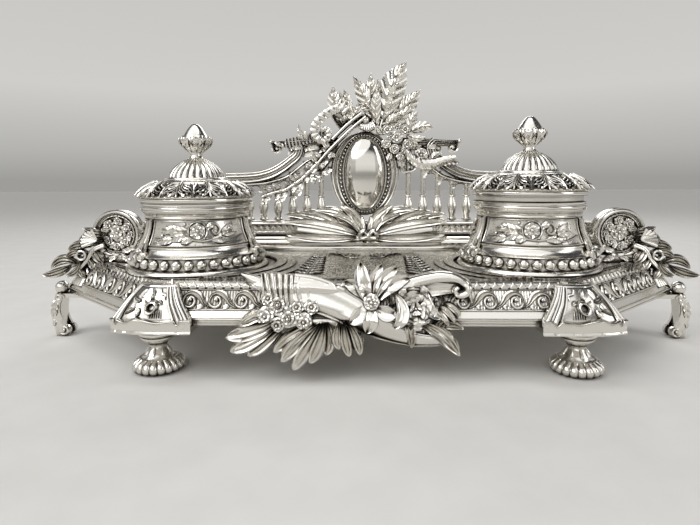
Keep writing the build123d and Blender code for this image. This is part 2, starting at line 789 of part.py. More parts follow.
def lid():
    """The lid: plain rim, convex leaf border, a ledge and a domed crown, of even wall."""
    z = collar_z
    bore_r = mouth_r - sleeve_clearance + 0.02
    rim_top = z + lid_rim_height
    crown_z = z + lid_dome_top
    under_z = crown_z - 2.0
    hole_r = thread_r + thread_clearance
    shell = turned(
        Polyline((bore_r, z), (lid_rim_r, z), (lid_rim_r, rim_top), (lid_leaf_r - 0.5, rim_top)),
        ThreePointArc((lid_leaf_r - 0.5, rim_top), (lid_leaf_r - 1.4, z + 5.6),
                      (lid_leaf_top_r, z + lid_leaf_top)),
        Polyline((lid_leaf_top_r, z + lid_leaf_top), (lid_dome_r + 1.5, z + lid_leaf_top + 0.5),
                 (lid_dome_r + 1.5, z + lid_dome_base - 0.5), (lid_dome_r, z + lid_dome_base)),
        ThreePointArc((lid_dome_r, z + lid_dome_base), (lid_dome_r - 2.8, z + 16.0),
                      (lid_dome_top_r, crown_z)),
        Polyline((lid_dome_top_r, crown_z), (hole_r, crown_z), (hole_r, under_z), (4.2, under_z)),
        ThreePointArc((4.2, under_z), (lid_dome_r - 4.4, z + 14.6), (lid_dome_r - lid_wall, z + 10.4)),
        Line((lid_dome_r - lid_wall, z + 10.4), (lid_leaf_top_r - 1.6, z + lid_leaf_top - 1.5)),
        ThreePointArc((lid_leaf_top_r - 1.6, z + lid_leaf_top - 1.5), (bore_r - 1.2, z + 5.2),
                      (bore_r, rim_top + 0.8)),
        Line((bore_r, rim_top + 0.8), (bore_r, z)),
    )
    return shell


def lid_sleeve():
    """The plain sleeve inside the lid's rim that grips the well's mouth."""
    outer_r = mouth_r - sleeve_clearance
    low = collar_z - mouth_depth + liner_flange + sleeve_gap
    high = collar_z + lid_rim_height
    return rod(outer_r, low, high) - rod(outer_r - sleeve_wall, low - 1, high + 1)


def finial():
    """The lid's knob: slim neck, swelling bulb and the threaded tail that goes through the lid."""
    z = collar_z + lid_dome_top
    top = z + finial_height
    foot_r, tip_r = finial_foot_r, 0.8
    return turned(
        Polyline((0, z - 4.4), (thread_r, z - 4.4), (thread_r, z), (foot_r, z), (foot_r, z + 0.8)),
        ThreePointArc((foot_r, z + 0.8), (finial_neck_r, z + 2.6), (finial_neck_r + 1.2, z + 4.8)),
        ThreePointArc((finial_neck_r + 1.2, z + 4.8), (finial_r - 0.9, z + 7.4), (finial_r, z + 9.2)),
        ThreePointArc((finial_r, z + 9.2), (finial_r - 1.4, z + 12.2), (finial_r - 3.4, z + 14.4)),
        ThreePointArc((finial_r - 3.4, z + 14.4), (finial_r - 4.7, top - 0.5), (tip_r, top)),
        Polyline((tip_r, top), (0, top), (0, z - 4.4)),
    )


def finial_nut():
    z = collar_z + lid_dome_top - 2.0
    hexagon = extrude(RegularPolygon(finial_nut_r, 6), finial_nut_height)
    hexagon -= rod(thread_r + thread_clearance, 0, finial_nut_height)
    return Pos(0, 0, z - finial_nut_height) * hexagon


# ---------------------------------------------------------------- assembly

wall = end_wall()
add("tray_plate", tray_plate())
add_pair("seat_ring", (seat_ring() - wall).solids().sort_by(SortBy.VOLUME)[-1])
add_pair("end_wall", wall)

skirt_names = ["front_skirt", "front_right_skirt", "rear_right_skirt",
               "rear_skirt", "rear_left_skirt", "front_left_skirt"]
for index, name in enumerate(skirt_names):
    add(name, skirt_piece(index, skirt_section()))
nodes["front_skirt"] = nodes["front_skirt"] - mount_screw_holes()

block, foot = corner_block(), turned_foot()
add_pair("front_corner_block", block)
add_pair("rear_corner_block", mirror(block, about=Plane.XZ))
add_pair("front_foot", foot)
add_pair("rear_foot", mirror(foot, about=Plane.XZ))


def at_four_corners(part):
    """A piece at the front right corner and its three mirror images."""
    right = [part, mirror(part, about=Plane.XZ)]
    return right + [mirrored(copy) for copy in right]


add("foot_studs", Compound(children=at_four_corners(stud())))
add("foot_nuts", Compound(children=at_four_corners(nut())))
add_pair("end_leg", end_leg())
add("end_leg_screws", Compound(children=[end_screw(), mirrored(end_screw())]))

add("gallery_plinth", gallery_plinth())
add("gallery_screws", Compound(children=gallery_screws()))
add("gallery_bottom_rail", bottom_rail())
add("oval_frame", oval_frame())
add("oval_mirror", oval_mirror())
rail = add_pair("top_rail", top_rail())
row = balusters(rail)
add("right_balusters", Compound(children=row))
add("left_balusters", Compound(children=[mirrored(post) for post in row]))
leaves = add("gallery_leaves", gallery_leaves())
ribbon = add("gallery_ribbon", gallery_ribbon(leaves))
add("gallery_flowers", gallery_flowers(leaves + ribbon))
add("gallery_swag", gallery_swag())

add_pair("scroll_drum", scroll_drum())
add_pair("drum_rosette", drum_rosette())
add_pair("side_spray", side_spray())

scroll = add("mount_scroll", mount_scroll())
flowers = add("mount_flowers", mount_flowers(scroll))
add("mount_leaves", mount_leaves(scroll, flowers))
add("mount_screws", Compound(children=mount_screws()))

well_parts = {"well_body": well_body(), "well_liner": well_liner(), "lid": lid(),
              "lid_sleeve": lid_sleeve(), "finial": finial(), "finial_nut": finial_nut()}
lid_parts = ("lid", "lid_sleeve", "finial", "finial_nut")
for name, part in well_parts.items():
    lift = lid_ajar if name in lid_parts else 0
    add("left_" + name, Pos(*left_well_place, 0) * part)
    add("right_" + name, Pos(*right_well_place, lift) * part)

os.makedirs("parts", exist_ok=True)
for name, part in nodes.items():
    export_step(part, f"parts/{name}.step")
whole = Compound(children=[copy for copy in nodes.values()]).bounding_box()
print(len(nodes), "nodes, from", whole.min, "to", whole.max)
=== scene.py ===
# %% [markdown]
# # A silver-plated desk inkstand
# The real object is cast brass, plated with silver: a footed tray, two bell inkwells with lids and
# a pierced gallery with foliage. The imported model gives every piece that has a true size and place.
# This lesson keeps those that are plain in real life, and makes the ornamented ones again in finer
# detail, each exactly where the plain one stands.

# %% The frame
import random
from math import atan2, cos, floor, hypot, pi, radians, sin, sqrt, tan

import bmesh
import bpy
from mathutils import Matrix, Vector, noise


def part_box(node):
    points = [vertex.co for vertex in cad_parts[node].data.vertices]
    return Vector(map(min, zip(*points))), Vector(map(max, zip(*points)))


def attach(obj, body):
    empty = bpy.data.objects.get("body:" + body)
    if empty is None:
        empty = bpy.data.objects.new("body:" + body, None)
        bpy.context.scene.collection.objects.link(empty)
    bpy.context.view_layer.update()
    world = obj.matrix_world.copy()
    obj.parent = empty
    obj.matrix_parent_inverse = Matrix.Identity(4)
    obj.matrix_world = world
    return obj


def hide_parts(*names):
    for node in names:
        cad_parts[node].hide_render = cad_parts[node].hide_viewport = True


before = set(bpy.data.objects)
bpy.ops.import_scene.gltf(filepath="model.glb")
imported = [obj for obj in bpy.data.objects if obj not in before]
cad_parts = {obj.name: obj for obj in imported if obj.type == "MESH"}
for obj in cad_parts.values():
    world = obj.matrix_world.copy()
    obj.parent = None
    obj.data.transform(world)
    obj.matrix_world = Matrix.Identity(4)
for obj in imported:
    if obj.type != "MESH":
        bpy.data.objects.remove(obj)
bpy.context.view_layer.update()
MM = 0.001

# %% [markdown]
# ## Looking at it
# The photo was taken close, from a little above the lids, with the frame cropped low. A camera
# 240 mm from the middle of the tray with a 26 mm lens gives the same wide, close view. The lens is
# shifted instead of tilted more, so that uprights stay upright.

# %% The camera
LENS = 25.92
EYE = (0.0, -239.6, 76.0)
PITCH, YAW, ROLL = 4.66, 1.65, 0.28
SHIFT_Y = -0.0613

camera_data = bpy.data.cameras.new("camera")
camera_data.lens = LENS
camera_data.sensor_width = 36.0
camera_data.shift_y = SHIFT_Y
camera_data.clip_start = 0.01
camera = bpy.data.objects.new("camera", camera_data)
camera.location = Vector(EYE) * MM
camera.rotation_euler = (radians(90 - PITCH), radians(ROLL), radians(YAW))
bpy.context.scene.collection.objects.link(camera)
bpy.context.scene.camera = camera
print("camera at", tuple(camera.location))

# %% [markdown]
# ## Light and floor
# Silver has no colour of its own to show: it shows the room. A pale floor and wide soft lamps give
# it broad bright shapes, and a sky that darkens overhead gives the grey between them that makes
# the relief readable. Dark flags hang above the camera's view, as a photographer hangs black card
# over silver, and put the dark lines along its curves. Camera and metal see the same room.

# %% Colour and node helpers
def linear(code):
    """An sRGB hex colour as linear red, green, blue and alpha."""
    values = [int(code[i:i + 2], 16) / 255 for i in (0, 2, 4)]
    return [v / 12.92 if v <= 0.04045 else ((v + 0.055) / 1.055) ** 2.4 for v in values] + [1.0]


def node(tree, kind, settings=None, **links):
    """Adds a node. Settings are its properties, links its sockets' values or the outputs to join."""
    made = tree.nodes.new(kind)
    for key, value in (settings or {}).items():
        setattr(made, key, value)
    for key, value in links.items():
        name = key.replace("_", " ")
        socket = made.inputs[int(name[1:])] if name[0] == "i" and name[1:].isdigit() else made.inputs[name]
        if isinstance(value, bpy.types.NodeSocket):
            tree.links.new(value, socket)
        else:
            socket.default_value = value
    return made


def ramp(tree, source, *stops):
    """A colour ramp through (position, colour) stops."""
    made = node(tree, "ShaderNodeValToRGB", Fac=source)
    elements = made.color_ramp.elements
    while len(elements) < len(stops):
        elements.new(0.5)
    for element, (position, colour) in zip(elements, stops):
        element.position = position
        element.color = colour if not isinstance(colour, (int, float)) else (colour, colour, colour, 1)
    return made.outputs["Color"]


# %% The floor
FLOOR_SIZE = 6000
floor_mesh = bmesh.new()
bmesh.ops.create_grid(floor_mesh, x_segments=2, y_segments=2, size=FLOOR_SIZE * MM / 2)
floor_data = bpy.data.meshes.new("floor")
floor_mesh.to_mesh(floor_data)
floor_object = bpy.data.objects.new("floor", floor_data)
bpy.context.scene.collection.objects.link(floor_object)

paper = bpy.data.materials.new("studio_paper")
paper.use_nodes = True
tree = paper.node_tree
shader = tree.nodes["Principled BSDF"]
shader.inputs["Roughness"].default_value = 0.85
place = node(tree, "ShaderNodeTexCoord")
grain = node(tree, "ShaderNodeTexNoise", Vector=place.outputs["Object"], Scale=60.0, Detail=2.0)
tree.links.new(ramp(tree, grain.outputs["Fac"], (0.3, linear("D3D1CD")), (0.7, linear("D8D6D2"))),
               shader.inputs["Base Color"])
floor_data.materials.append(paper)
print("floor:", FLOOR_SIZE, "mm across")

# %% The lamps
def lamp(name, place, aim, size, power, tint="FFFFFF"):
    """A soft rectangular lamp at a place in mm, aimed at a point in mm."""
    data = bpy.data.lights.new(name, "AREA")
    data.shape = "RECTANGLE"
    data.size, data.size_y = size[0] * MM, size[1] * MM
    data.energy = power
    data.color = linear(tint)[:3]
    made = bpy.data.objects.new(name, data)
    made.location = Vector(place) * MM
    made.rotation_euler = (Vector(aim) - Vector(place)).to_track_quat("-Z", "Y").to_euler()
    bpy.context.scene.collection.objects.link(made)
    return made


lamp("key_lamp", (-520, -420, 620), (0, 0, 50), (420, 420), 2.2)
lamp("fill_lamp", (640, -300, 360), (0, 0, 50), (300, 500), 0.9)
lamp("back_lamp", (80, 620, 560), (0, 0, 60), (700, 220), 1.6)
lamp("top_lamp", (0, -60, 760), (0, 0, 40), (500, 160), 0.7)
lamp("front_lamp", (60, -900, 330), (0, 0, 40), (1100, 420), 0.45)

daylight_data = bpy.data.lights.new("daylight", "SUN")
daylight_data.energy = 1.6
daylight_data.angle = radians(84)
daylight = bpy.data.objects.new("daylight", daylight_data)
daylight.rotation_euler = (radians(28), radians(-18), 0)
bpy.context.scene.collection.objects.link(daylight)

world = bpy.data.worlds.new("studio")
bpy.context.scene.world = world
world.use_nodes = True
sky = world.node_tree
direction = node(sky, "ShaderNodeTexCoord")
axes = node(sky, "ShaderNodeSeparateXYZ", Vector=direction.outputs["Generated"])
shade = ramp(sky, axes.outputs["Z"], (0.0, linear("9E9D9A")), (0.05, linear("B4B3B0")),
             (0.16, linear("CFCECB")), (0.335, linear("C8C7C4")), (0.46, linear("6C6C6E")),
             (1.0, linear("3E3E42")))
across = node(sky, "ShaderNodeMath", {"operation": "MULTIPLY_ADD"}, i0=axes.outputs["X"], i1=0.5, i2=0.5)
flags = ramp(sky, across.outputs[0], (0.0, 0.4), (0.14, 1.0), (0.3, 0.8), (0.43, 0.1), (0.6, 0.14),
             (0.76, 0.62), (0.9, 0.5), (1.0, 0.2))
hung = ramp(sky, axes.outputs["Z"], (0.335, 0.0), (0.42, 1.0))
walls = node(sky, "ShaderNodeMix", {"data_type": "RGBA", "blend_type": "MULTIPLY"}, i0=hung, i6=shade, i7=flags)
sky.links.new(walls.outputs[2], sky.nodes["Background"].inputs["Color"])
sky.nodes["Background"].inputs["Strength"].default_value = 1.0
bpy.context.scene.view_settings.view_transform = "Standard"

# %% [markdown]
# ## Finishes
# Plate is polished where a thumb or a cloth reaches and tarnishes where it doesn't. The dark in
# the hollows is tarnished plate and painted shade together, drawn nearly black by how closed-in
# each spot is, which gives the relief its outlines.
# A metal's colour is its reflection, so the polished and the dark parts differ in base colour and
# roughness together.

# %% Silver plate
# The two dark colours are for the hollows: tarnished plate with painted shade.
SILVER, TARNISH_AND_SHADE, BLACK = linear("E4E1DA"), linear("8E877B"), linear("191716")


def plated(name, polish, tarnish_and_shade, reach, grain, dent, speckle=0.16):
    """Cast brass plated with silver and polished by hand. Roughness is lowest on the high parts;
    tarnish is how much of the recesses is darkened, as tarnished plate with painted shade, and reach
    how wide, in mm, a recess may be; grain is the size, in mm, of the casting's fine pits, dent their
    depth, and speckle how dark they are."""
    made = bpy.data.materials.new(name)
    made.use_nodes = True
    tree = made.node_tree
    shader = tree.nodes["Principled BSDF"]
    shader.inputs["Metallic"].default_value = 1.0
    spot = node(tree, "ShaderNodeTexCoord").outputs["Object"]
    # Painted shade: wide and tight occlusion darken the base colour in hollows and creases, along with the tarnished
    # plate there.
    wide = node(tree, "ShaderNodeAmbientOcclusion", {"samples": 6, "only_local": False}, Distance=reach * MM)
    tight = node(tree, "ShaderNodeAmbientOcclusion", {"samples": 6, "only_local": False}, Distance=0.9 * MM)
    edge = node(tree, "ShaderNodeMath", {"operation": "MULTIPLY_ADD"}, i0=tight.outputs["AO"], i1=0.6, i2=0.44)
    closed = node(tree, "ShaderNodeMath", {"operation": "MULTIPLY"}, i0=wide.outputs["AO"], i1=edge.outputs[0])
    fine = node(tree, "ShaderNodeTexNoise", Vector=spot, Scale=1 / (grain * MM), Detail=3.0)
    cloud = node(tree, "ShaderNodeTexNoise", Vector=spot, Scale=1 / (14 * MM), Detail=2.0)
    pits = node(tree, "ShaderNodeMath", {"operation": "MULTIPLY_ADD"}, i0=fine.outputs["Fac"], i1=speckle,
                i2=0.13 - 0.8 * speckle)
    mixed = node(tree, "ShaderNodeMath", {"operation": "ADD"}, i0=pits.outputs[0], i1=closed.outputs[0])
    shifted = node(tree, "ShaderNodeMath", {"operation": "MULTIPLY_ADD"}, i0=cloud.outputs["Fac"], i1=0.22,
                   i2=mixed.outputs[0])
    # The colour runs from nearly black in closed-in spots to silver: painted shade and tarnished plate together.
    low = 0.38 + 0.30 * tarnish_and_shade
    colour = ramp(tree, shifted.outputs[0], (low - 0.22, BLACK), (low, TARNISH_AND_SHADE),
                  (low + 0.26, SILVER))
    rough = ramp(tree, shifted.outputs[0], (low - 0.1, 0.55), (low + 0.3, polish))
    height = node(tree, "ShaderNodeBump", Strength=0.5, Distance=dent * MM, Height=fine.outputs["Fac"])
    tree.links.new(colour, shader.inputs["Base Color"])
    tree.links.new(rough, shader.inputs["Roughness"])
    tree.links.new(height.outputs["Normal"], shader.inputs["Normal"])
    return made


cast_silver = plated("cast_silver_plate", 0.2, 0.85, 4.0, 0.9, 0.05)
bright_silver = plated("polished_silver_plate", 0.09, 0.35, 2.5, 0.7, 0.01)
burnished_silver = plated("burnished_silver_plate", 0.17, 0.5, 2.5, 0.9, 0.04)
field_silver = plated("stippled_silver_plate", 0.24, 0.8, 3.0, 1.0, 0.22, 1.4)
worn_silver = plated("rubbed_silver_plate", 0.28, 0.55, 3.0, 0.5, 0.02)


# %% Glass and brass
def pressed_glass(name):
    """Clear pressed glass, a little green, with the faint waviness of a pressed surface. The
    tint and the soft polish keep it from vanishing inside the well."""
    made = bpy.data.materials.new(name)
    made.use_nodes = True
    tree = made.node_tree
    shader = tree.nodes["Principled BSDF"]
    spot = node(tree, "ShaderNodeTexCoord").outputs["Object"]
    wave = node(tree, "ShaderNodeTexNoise", Vector=spot, Scale=1 / (5 * MM), Detail=1.0)
    tree.links.new(ramp(tree, wave.outputs["Fac"], (0.3, linear("DDEBE6")), (0.7, linear("EAF3F0"))),
                   shader.inputs["Base Color"])
    tree.links.new(ramp(tree, wave.outputs["Fac"], (0.3, 0.02), (0.7, 0.07)), shader.inputs["Roughness"])
    shader.inputs["Transmission Weight"].default_value = 1.0
    shader.inputs["IOR"].default_value = 1.5
    ripple = node(tree, "ShaderNodeBump", Strength=0.3, Distance=0.05 * MM, Height=wave.outputs["Fac"])
    tree.links.new(ripple.outputs["Normal"], shader.inputs["Normal"])
    return made


def turned_brass(name):
    """Bare brass as it leaves the lathe: fine rings from the tool, and brown where it is handled."""
    made = bpy.data.materials.new(name)
    made.use_nodes = True
    tree = made.node_tree
    shader = tree.nodes["Principled BSDF"]
    shader.inputs["Metallic"].default_value = 1.0
    spot = node(tree, "ShaderNodeTexCoord").outputs["Object"]
    rings = node(tree, "ShaderNodeTexWave", {"wave_type": "BANDS", "bands_direction": "Z"}, Vector=spot,
                 Scale=0.35 / MM, Distortion=0.6)
    stain = node(tree, "ShaderNodeTexNoise", Vector=spot, Scale=1 / (2 * MM), Detail=3.0)
    tree.links.new(ramp(tree, stain.outputs["Fac"], (0.35, linear("6E5326")), (0.65, linear("B9974F"))),
                   shader.inputs["Base Color"])
    tree.links.new(ramp(tree, stain.outputs["Fac"], (0.35, 0.5), (0.65, 0.25)), shader.inputs["Roughness"])
    cut = node(tree, "ShaderNodeBump", Strength=0.3, Distance=0.02 * MM, Height=rings.outputs["Fac"])
    tree.links.new(cut.outputs["Normal"], shader.inputs["Normal"])
    return made


clear_glass = pressed_glass("pressed_glass")
bare_brass = turned_brass("turned_brass")


def finish_of(name):
    """The finish of a piece that the scene keeps."""
    if "liner" in name:
        return clear_glass
    if "screw" in name or "stud" in name or "nut" in name:
        return bare_brass
    if "sleeve" in name:
        return worn_silver
    if name == "tray_plate" or "seat_ring" in name:
        return field_silver
    return cast_silver


for name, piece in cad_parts.items():
    piece.data.materials.clear()
    piece.data.materials.append(finish_of(name))
print("finishes:", sorted(m.name for m in bpy.data.materials))


# %% [markdown]
# ## Tools for cast ornament
# Every leaf, scroll, ribbon and petal here is the same thing to a modeller: a strip of wax that
# follows a path on some surface, swells and narrows, and has a raised section. So one function
# makes a strip from a grid, and takes four others: the surface it lies on, its path, its width and
# its height. What the surface is, flat, belled or turned, is only a change of coordinates.

# %% Closing and finishing pieces
def cast_onto(bm, part):
    """Adds a small mesh to a big one. Making it apart keeps the big one from slowing each step."""
    data = bpy.data.meshes.new("wax")
    part.to_mesh(data)
    part.free()
    bm.from_mesh(data)
    bpy.data.meshes.remove(data)


def finish_piece(bm, name, body, finish, slot, *stands_for, crease=38):
    """Turns a mesh in mm into a piece in metres that rides on a body."""
    bmesh.ops.recalc_face_normals(bm, faces=bm.faces)
    bmesh.ops.scale(bm, vec=(MM, MM, MM), verts=bm.verts)
    data = bpy.data.meshes.new(name)
    bm.to_mesh(data)
    bm.free()
    data.shade_smooth()
    data.set_sharp_from_angle(angle=radians(crease))
    data.materials.append(finish)
    piece = bpy.data.objects.new(name, data)
    bpy.context.scene.collection.objects.link(piece)
    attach(piece, body)
    if stands_for:
        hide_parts(*stands_for)
    print(f"{name}: {sum(len(face.vertices) - 2 for face in data.polygons)} triangles")
    return piece


# %% Paths, as functions from 0..1 to a point and a direction
def line(start, end, bow=0.0):
    """A straight path, or an arc that bows to its left by a share of its length."""
    (ax, ay), (bx, by) = start, end
    length = hypot(bx - ax, by - ay)
    dx, dy = (bx - ax) / length, (by - ay) / length

    def path(t):
        out = bow * length * 4 * t * (1 - t)
        slope = bow * 4 * (1 - 2 * t)
        scale = hypot(1, slope)
        point = (ax + dx * t * length - dy * out, ay + dy * t * length + dx * out)
        return point, ((dx - dy * slope) / scale, (dy + dx * slope) / scale)

    return path


def through(*points):
    """A smooth path through points."""
    def at(index):
        return Vector(points[max(0, min(len(points) - 1, index))])

    def path(t):
        span = min(int(t * (len(points) - 1)), len(points) - 2)
        f = t * (len(points) - 1) - span
        a, b, c, d = (at(span + k) for k in (-1, 0, 1, 2))
        point = 0.5 * (2 * b + (c - a) * f + (2 * a - 5 * b + 4 * c - d) * f ** 2
                       + (3 * b - a - 3 * c + d) * f ** 3)
        slope = (c - a) + 2 * (2 * a - 5 * b + 4 * c - d) * f + 3 * (3 * b - a - 3 * c + d) * f ** 2
        slope.normalize()
        return tuple(point), tuple(slope)

    return path


def curl(centre, outer, inner, start, turns):
    """A spiral path from the outer radius in. Positive turns run anticlockwise."""
    def path(t):
        angle = radians(start) + 2 * pi * turns * t
        reach = outer + (inner - outer) * t ** 0.8
        hand = 1 if turns > 0 else -1
        return ((centre[0] + reach * cos(angle), centre[1] + reach * sin(angle)),
                (-hand * sin(angle), hand * cos(angle)))

    return path


# %% The strip
def slab(columns, rows):
    """A flat grid, -1 to 1 both ways, with a back one unit behind it and closed edges."""
    part = bmesh.new()
    bmesh.ops.create_grid(part, x_segments=columns, y_segments=rows, size=1)
    made = bmesh.ops.extrude_face_region(part, geom=part.faces[:])
    bmesh.ops.translate(part, vec=(0, 0, -1),
                        verts=[v for v in made["geom"] if isinstance(v, bmesh.types.BMVert)])
    return part


def strip(bm, place, path, width, height, rows=14, columns=6, thick=0.8, sweep=0.0):
    """A strip of metal on a surface. place turns (across, up, out) into a point; width and height
    are functions of how far along it is, 0 to 1, and height also of the side, -1 to 1. Its edges
    run forward by sweep half widths. Its back lies thick below its face."""
    part = slab(columns, rows)
    for corner in part.verts:
        side, along = corner.co.x, (corner.co.y + 1) / 2
        (u, v), (du, dv) = path(along)
        half = width(along)
        lead = sweep * half * abs(side) ** 1.5
        corner.co = place(u - dv * side * half + du * lead, v + du * side * half + dv * lead,
                          height(along, side) + corner.co.z * thick)
    cast_onto(bm, part)


def leaf(bm, place, start, tip, wide, rise=1.0, bow=0.0, lobes=4, notch=0.3, vein=0.22, cup=0.35,
         lift=0.0, rows=16, columns=8, thick=0.7, blunt=0.7, sweep=0.7, drop=0.0):
    """A cast leaf from start to tip: a rib down the middle, side veins that end in lobes, and a
    face that rises by rise at its middle. Its edges turn up by cup half widths, and its tip
    stands out by lift and curls back by drop."""
    def outline(t):
        body = sin(pi * min(1, max(0, t)) ** blunt) ** 0.72
        edge = 1 - notch * (0.5 + 0.5 * cos(2 * pi * lobes * t)) if lobes else 1
        return wide * max(body * edge, 0.02)

    def face(t, s):
        crown = rise * sin(pi * min(1, t * 1.05)) ** 0.6
        rib = vein * wide * 0.6 * max(0, 1 - abs(s) * 4)
        ripple = vein * wide * 0.35 * cos(2 * pi * lobes * (t - 0.12 * abs(s))) * min(1, 3 * abs(s))
        return (crown + rib - ripple + cup * wide * s * s * sin(pi * t) + lift * t ** 2
                - drop * max(0, t - 0.7) ** 2 * 11)

    strip(bm, place, line(start, tip, bow), outline, face, rows, columns, thick, sweep)


def flowing(bm, place, start, tip, wide, rise, bow=0.0, lift=0.0, ridges=1.5, rows=22, thick=1.0, blunt=0.85,
            deep=0.2):
    """A smooth leaf whose ridges run its whole length and meet at the tip. It is pointed, or
    rounded where blunt is over 1."""
    def outline(t):
        return wide * max(0.03, sin(pi * min(1, 0.04 + 0.96 * t) ** blunt) ** 0.7)

    def face(t, s):
        body = rise * sin(pi * min(1, 0.1 + t * 0.9)) ** 0.6
        ripple = deep * min(wide, 2.6) * cos(2 * pi * ridges * abs(s)) * min(1, 4 * (1 - t))
        return body * (1 - 0.5 * s * s) + ripple + lift * t * t

    strip(bm, place, line(start, tip, bow), outline, face, rows, int(8 * ridges), thick, 0.3)


def veined_leaf(bm, place, start, tip, wide, rise, bow=0.0, lift=1.5, veins=6, thick=1.0, relief=1.0):
    """A crisp leaf: two halves folded along the rib, ribbed aslant, with a toothed edge."""
    def outline(t):
        body = sin(pi * min(1, 0.05 + 0.95 * t) ** 0.8) ** (0.55 + 0.6 * t)
        return wide * max(0.02, 1.08 * body * (1 - 0.06 * (0.5 + 0.5 * cos(2 * pi * veins * t))))

    def face(t, s):
        crown = rise * sin(pi * min(1, 0.08 + t * 0.92)) ** 0.6
        fold = 0.30 * wide * abs(s) - 0.22 * wide * max(0, 1 - abs(s) * 5)
        slant = 0.085 * wide * cos(2 * pi * veins * (t - 0.16 * abs(s))) * min(1, 4 * abs(s)) * min(1, 6 * (1 - t))
        return crown + relief * (slant - fold * min(1, 0.1 + 4 * (1 - t))) + lift * t * t

    strip(bm, place, line(start, tip, bow), outline, face, veins * 6, 12, thick, 0.45)


def blade(bm, place, path, wide, rise, rows=14, columns=4, thick=0.6, taper=1.0, groove=0.0, start=0.0):
    """A plain strip with a rounded section, tapering towards its end: a stem, ridge or scroll."""
    def outline(t):
        return max(wide * (1 - taper * t ** 1.5) * min(1, start + t * 8), 0.03)

    def face(t, s):
        swell = sqrt(max(0.0, 1 - s * s))
        return rise * (1 - 0.5 * taper * t) * (swell - groove * max(0, 1 - abs(s) * 2.2))

    strip(bm, place, path, outline, face, rows, columns, thick)


def bead(bm, place, centre, across, rise, detail=8, tall=None):
    """A round boss on a surface, sunk a little so that it joins what it lies on."""
    part = bmesh.new()
    bmesh.ops.create_uvsphere(part, u_segments=detail, v_segments=max(4, detail * 2 // 3), radius=1)
    for corner in part.verts:
        x, y, z = corner.co
        corner.co = place(centre[0] + x * across, centre[1] + y * (tall or across), z * rise)
    cast_onto(bm, part)


def rosette(bm, place, centre, reach, petals, rise, layers=2, turn=0.0, eye=0.28, open_up=0.25):
    """A flower seen from the front: rings of cupped petals round a domed eye."""
    for layer in range(layers):
        share = 1 - 0.36 * layer
        for index in range(petals):
            angle = 2 * pi * (index + 0.5 * (layer % 2)) / petals + turn
            start = (centre[0] + cos(angle) * reach * 0.12, centre[1] + sin(angle) * reach * 0.12)
            end = (centre[0] + cos(angle) * reach * share, centre[1] + sin(angle) * reach * share)
            base = rise * (0.35 + 0.5 * layer)

            def face(t, s, base=base):
                return base + rise * open_up * t + 0.16 * reach * s * s * sin(pi * t) - 0.5 * rise * t ** 4

            def outline(t, share=share):
                return reach * share * sin(pi / petals) * 1.18 * max(0.06, sin(pi * t ** 1.35) ** 0.6)

            strip(bm, place, line(start, end), outline, face, rows=7, columns=5, thick=0.45)
    bead(bm, place, centre, reach * eye, rise * (0.75 + 0.45 * layers), detail=10)


def spun(bm, profile, centre=(0, 0), segments=96, closed=True, shape=None):
    """A turned solid about an upright axis, from (radius, height) points. shape moves its points."""
    part = bmesh.new()
    corners = [part.verts.new((centre[0] + r, centre[1], z)) for r, z in profile]
    rim = [part.edges.new(pair) for pair in zip(corners, corners[1:])]
    if closed:
        rim.append(part.edges.new((corners[-1], corners[0])))
    bmesh.ops.spin(part, geom=corners + rim, cent=(centre[0], centre[1], 0), axis=(0, 0, 1),
                   angle=2 * pi, steps=segments, use_merge=True)
    bmesh.ops.remove_doubles(part, verts=part.verts, dist=0.003)
    if shape:
        shape(part.verts)
    cast_onto(bm, part)


def rounded(points, radius=0.35, steps=3):
    """A profile's points with each corner turned into a small arc of the given radius."""
    soft = [points[0]]
    for before, here, after in zip(points, points[1:], points[2:]):
        a, b, c = Vector(before), Vector(here), Vector(after)
        reach = min(radius, (a - b).length * 0.45, (c - b).length * 0.45)
        enter, leave = b + (a - b).normalized() * reach, b + (c - b).normalized() * reach
        for step in range(steps + 1):
            t = step / steps
            soft.append(tuple(enter * (1 - t) ** 2 + b * 2 * t * (1 - t) + leave * t ** 2))
    soft.append(points[-1])
    return soft


def arc(start, middle, end, steps=6):
    """Points after start along a smooth bend through middle to end."""
    a, b, c = Vector(start), Vector(middle), Vector(end)
    control = 2 * b - (a + c) / 2
    return [tuple(a * (1 - t) ** 2 + control * 2 * t * (1 - t) + c * t ** 2)
            for t in [step / steps for step in range(1, steps + 1)]]


def on_turned(centre, radius_at, middle_angle, reach):
    """Places on a turned surface: across is measured round it at radius reach, up is height."""
    def place(u, v, h):
        slope = (radius_at(v + 0.05) - radius_at(v - 0.05)) / 0.1
        scale = hypot(1, slope)
        r, z = radius_at(v) + h / scale, v - h * slope / scale
        angle = middle_angle + u / reach
        return Vector((centre[0] + r * sin(angle), centre[1] - r * cos(angle), z))

    return place


def profile_radius(points):
    """The radius of a profile at a height, from its (radius, height) points in rising order."""
    def radius_at(z):
        for (r0, z0), (r1, z1) in zip(points, points[1:]):
            if z <= z1:
                return r0 + (r1 - r0) * (z - z0) / (z1 - z0)
        return points[-1][0]

    return radius_at

# %% [markdown]
# ## The inkwells
# Each well was turned on a lathe after casting: a ring foot, a row of beads, a waisted bell and a
# collar. So its body is one profile spun round. Three straps divide the bell into chased panels,
# and each panel has a flower, leaves and a ribbon that stand about a millimetre proud. Those are
# strips laid on the bell's own surface.

# %% Where the wells stand
def middle_of(name):
    low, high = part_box(name)
    return ((low.x + high.x) / 2 / MM, (low.y + high.y) / 2 / MM)


FIELD_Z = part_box("left_well_body")[0].z / MM
COLLAR_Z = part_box("left_well_body")[1].z / MM
STRAP_ANGLES = {"left": (80, -40, 200), "right": (49, -71, 169)}
BEADS = 36
print("wells at", middle_of("left_well_body"), middle_of("right_well_body"), "collar", round(COLLAR_Z, 2))

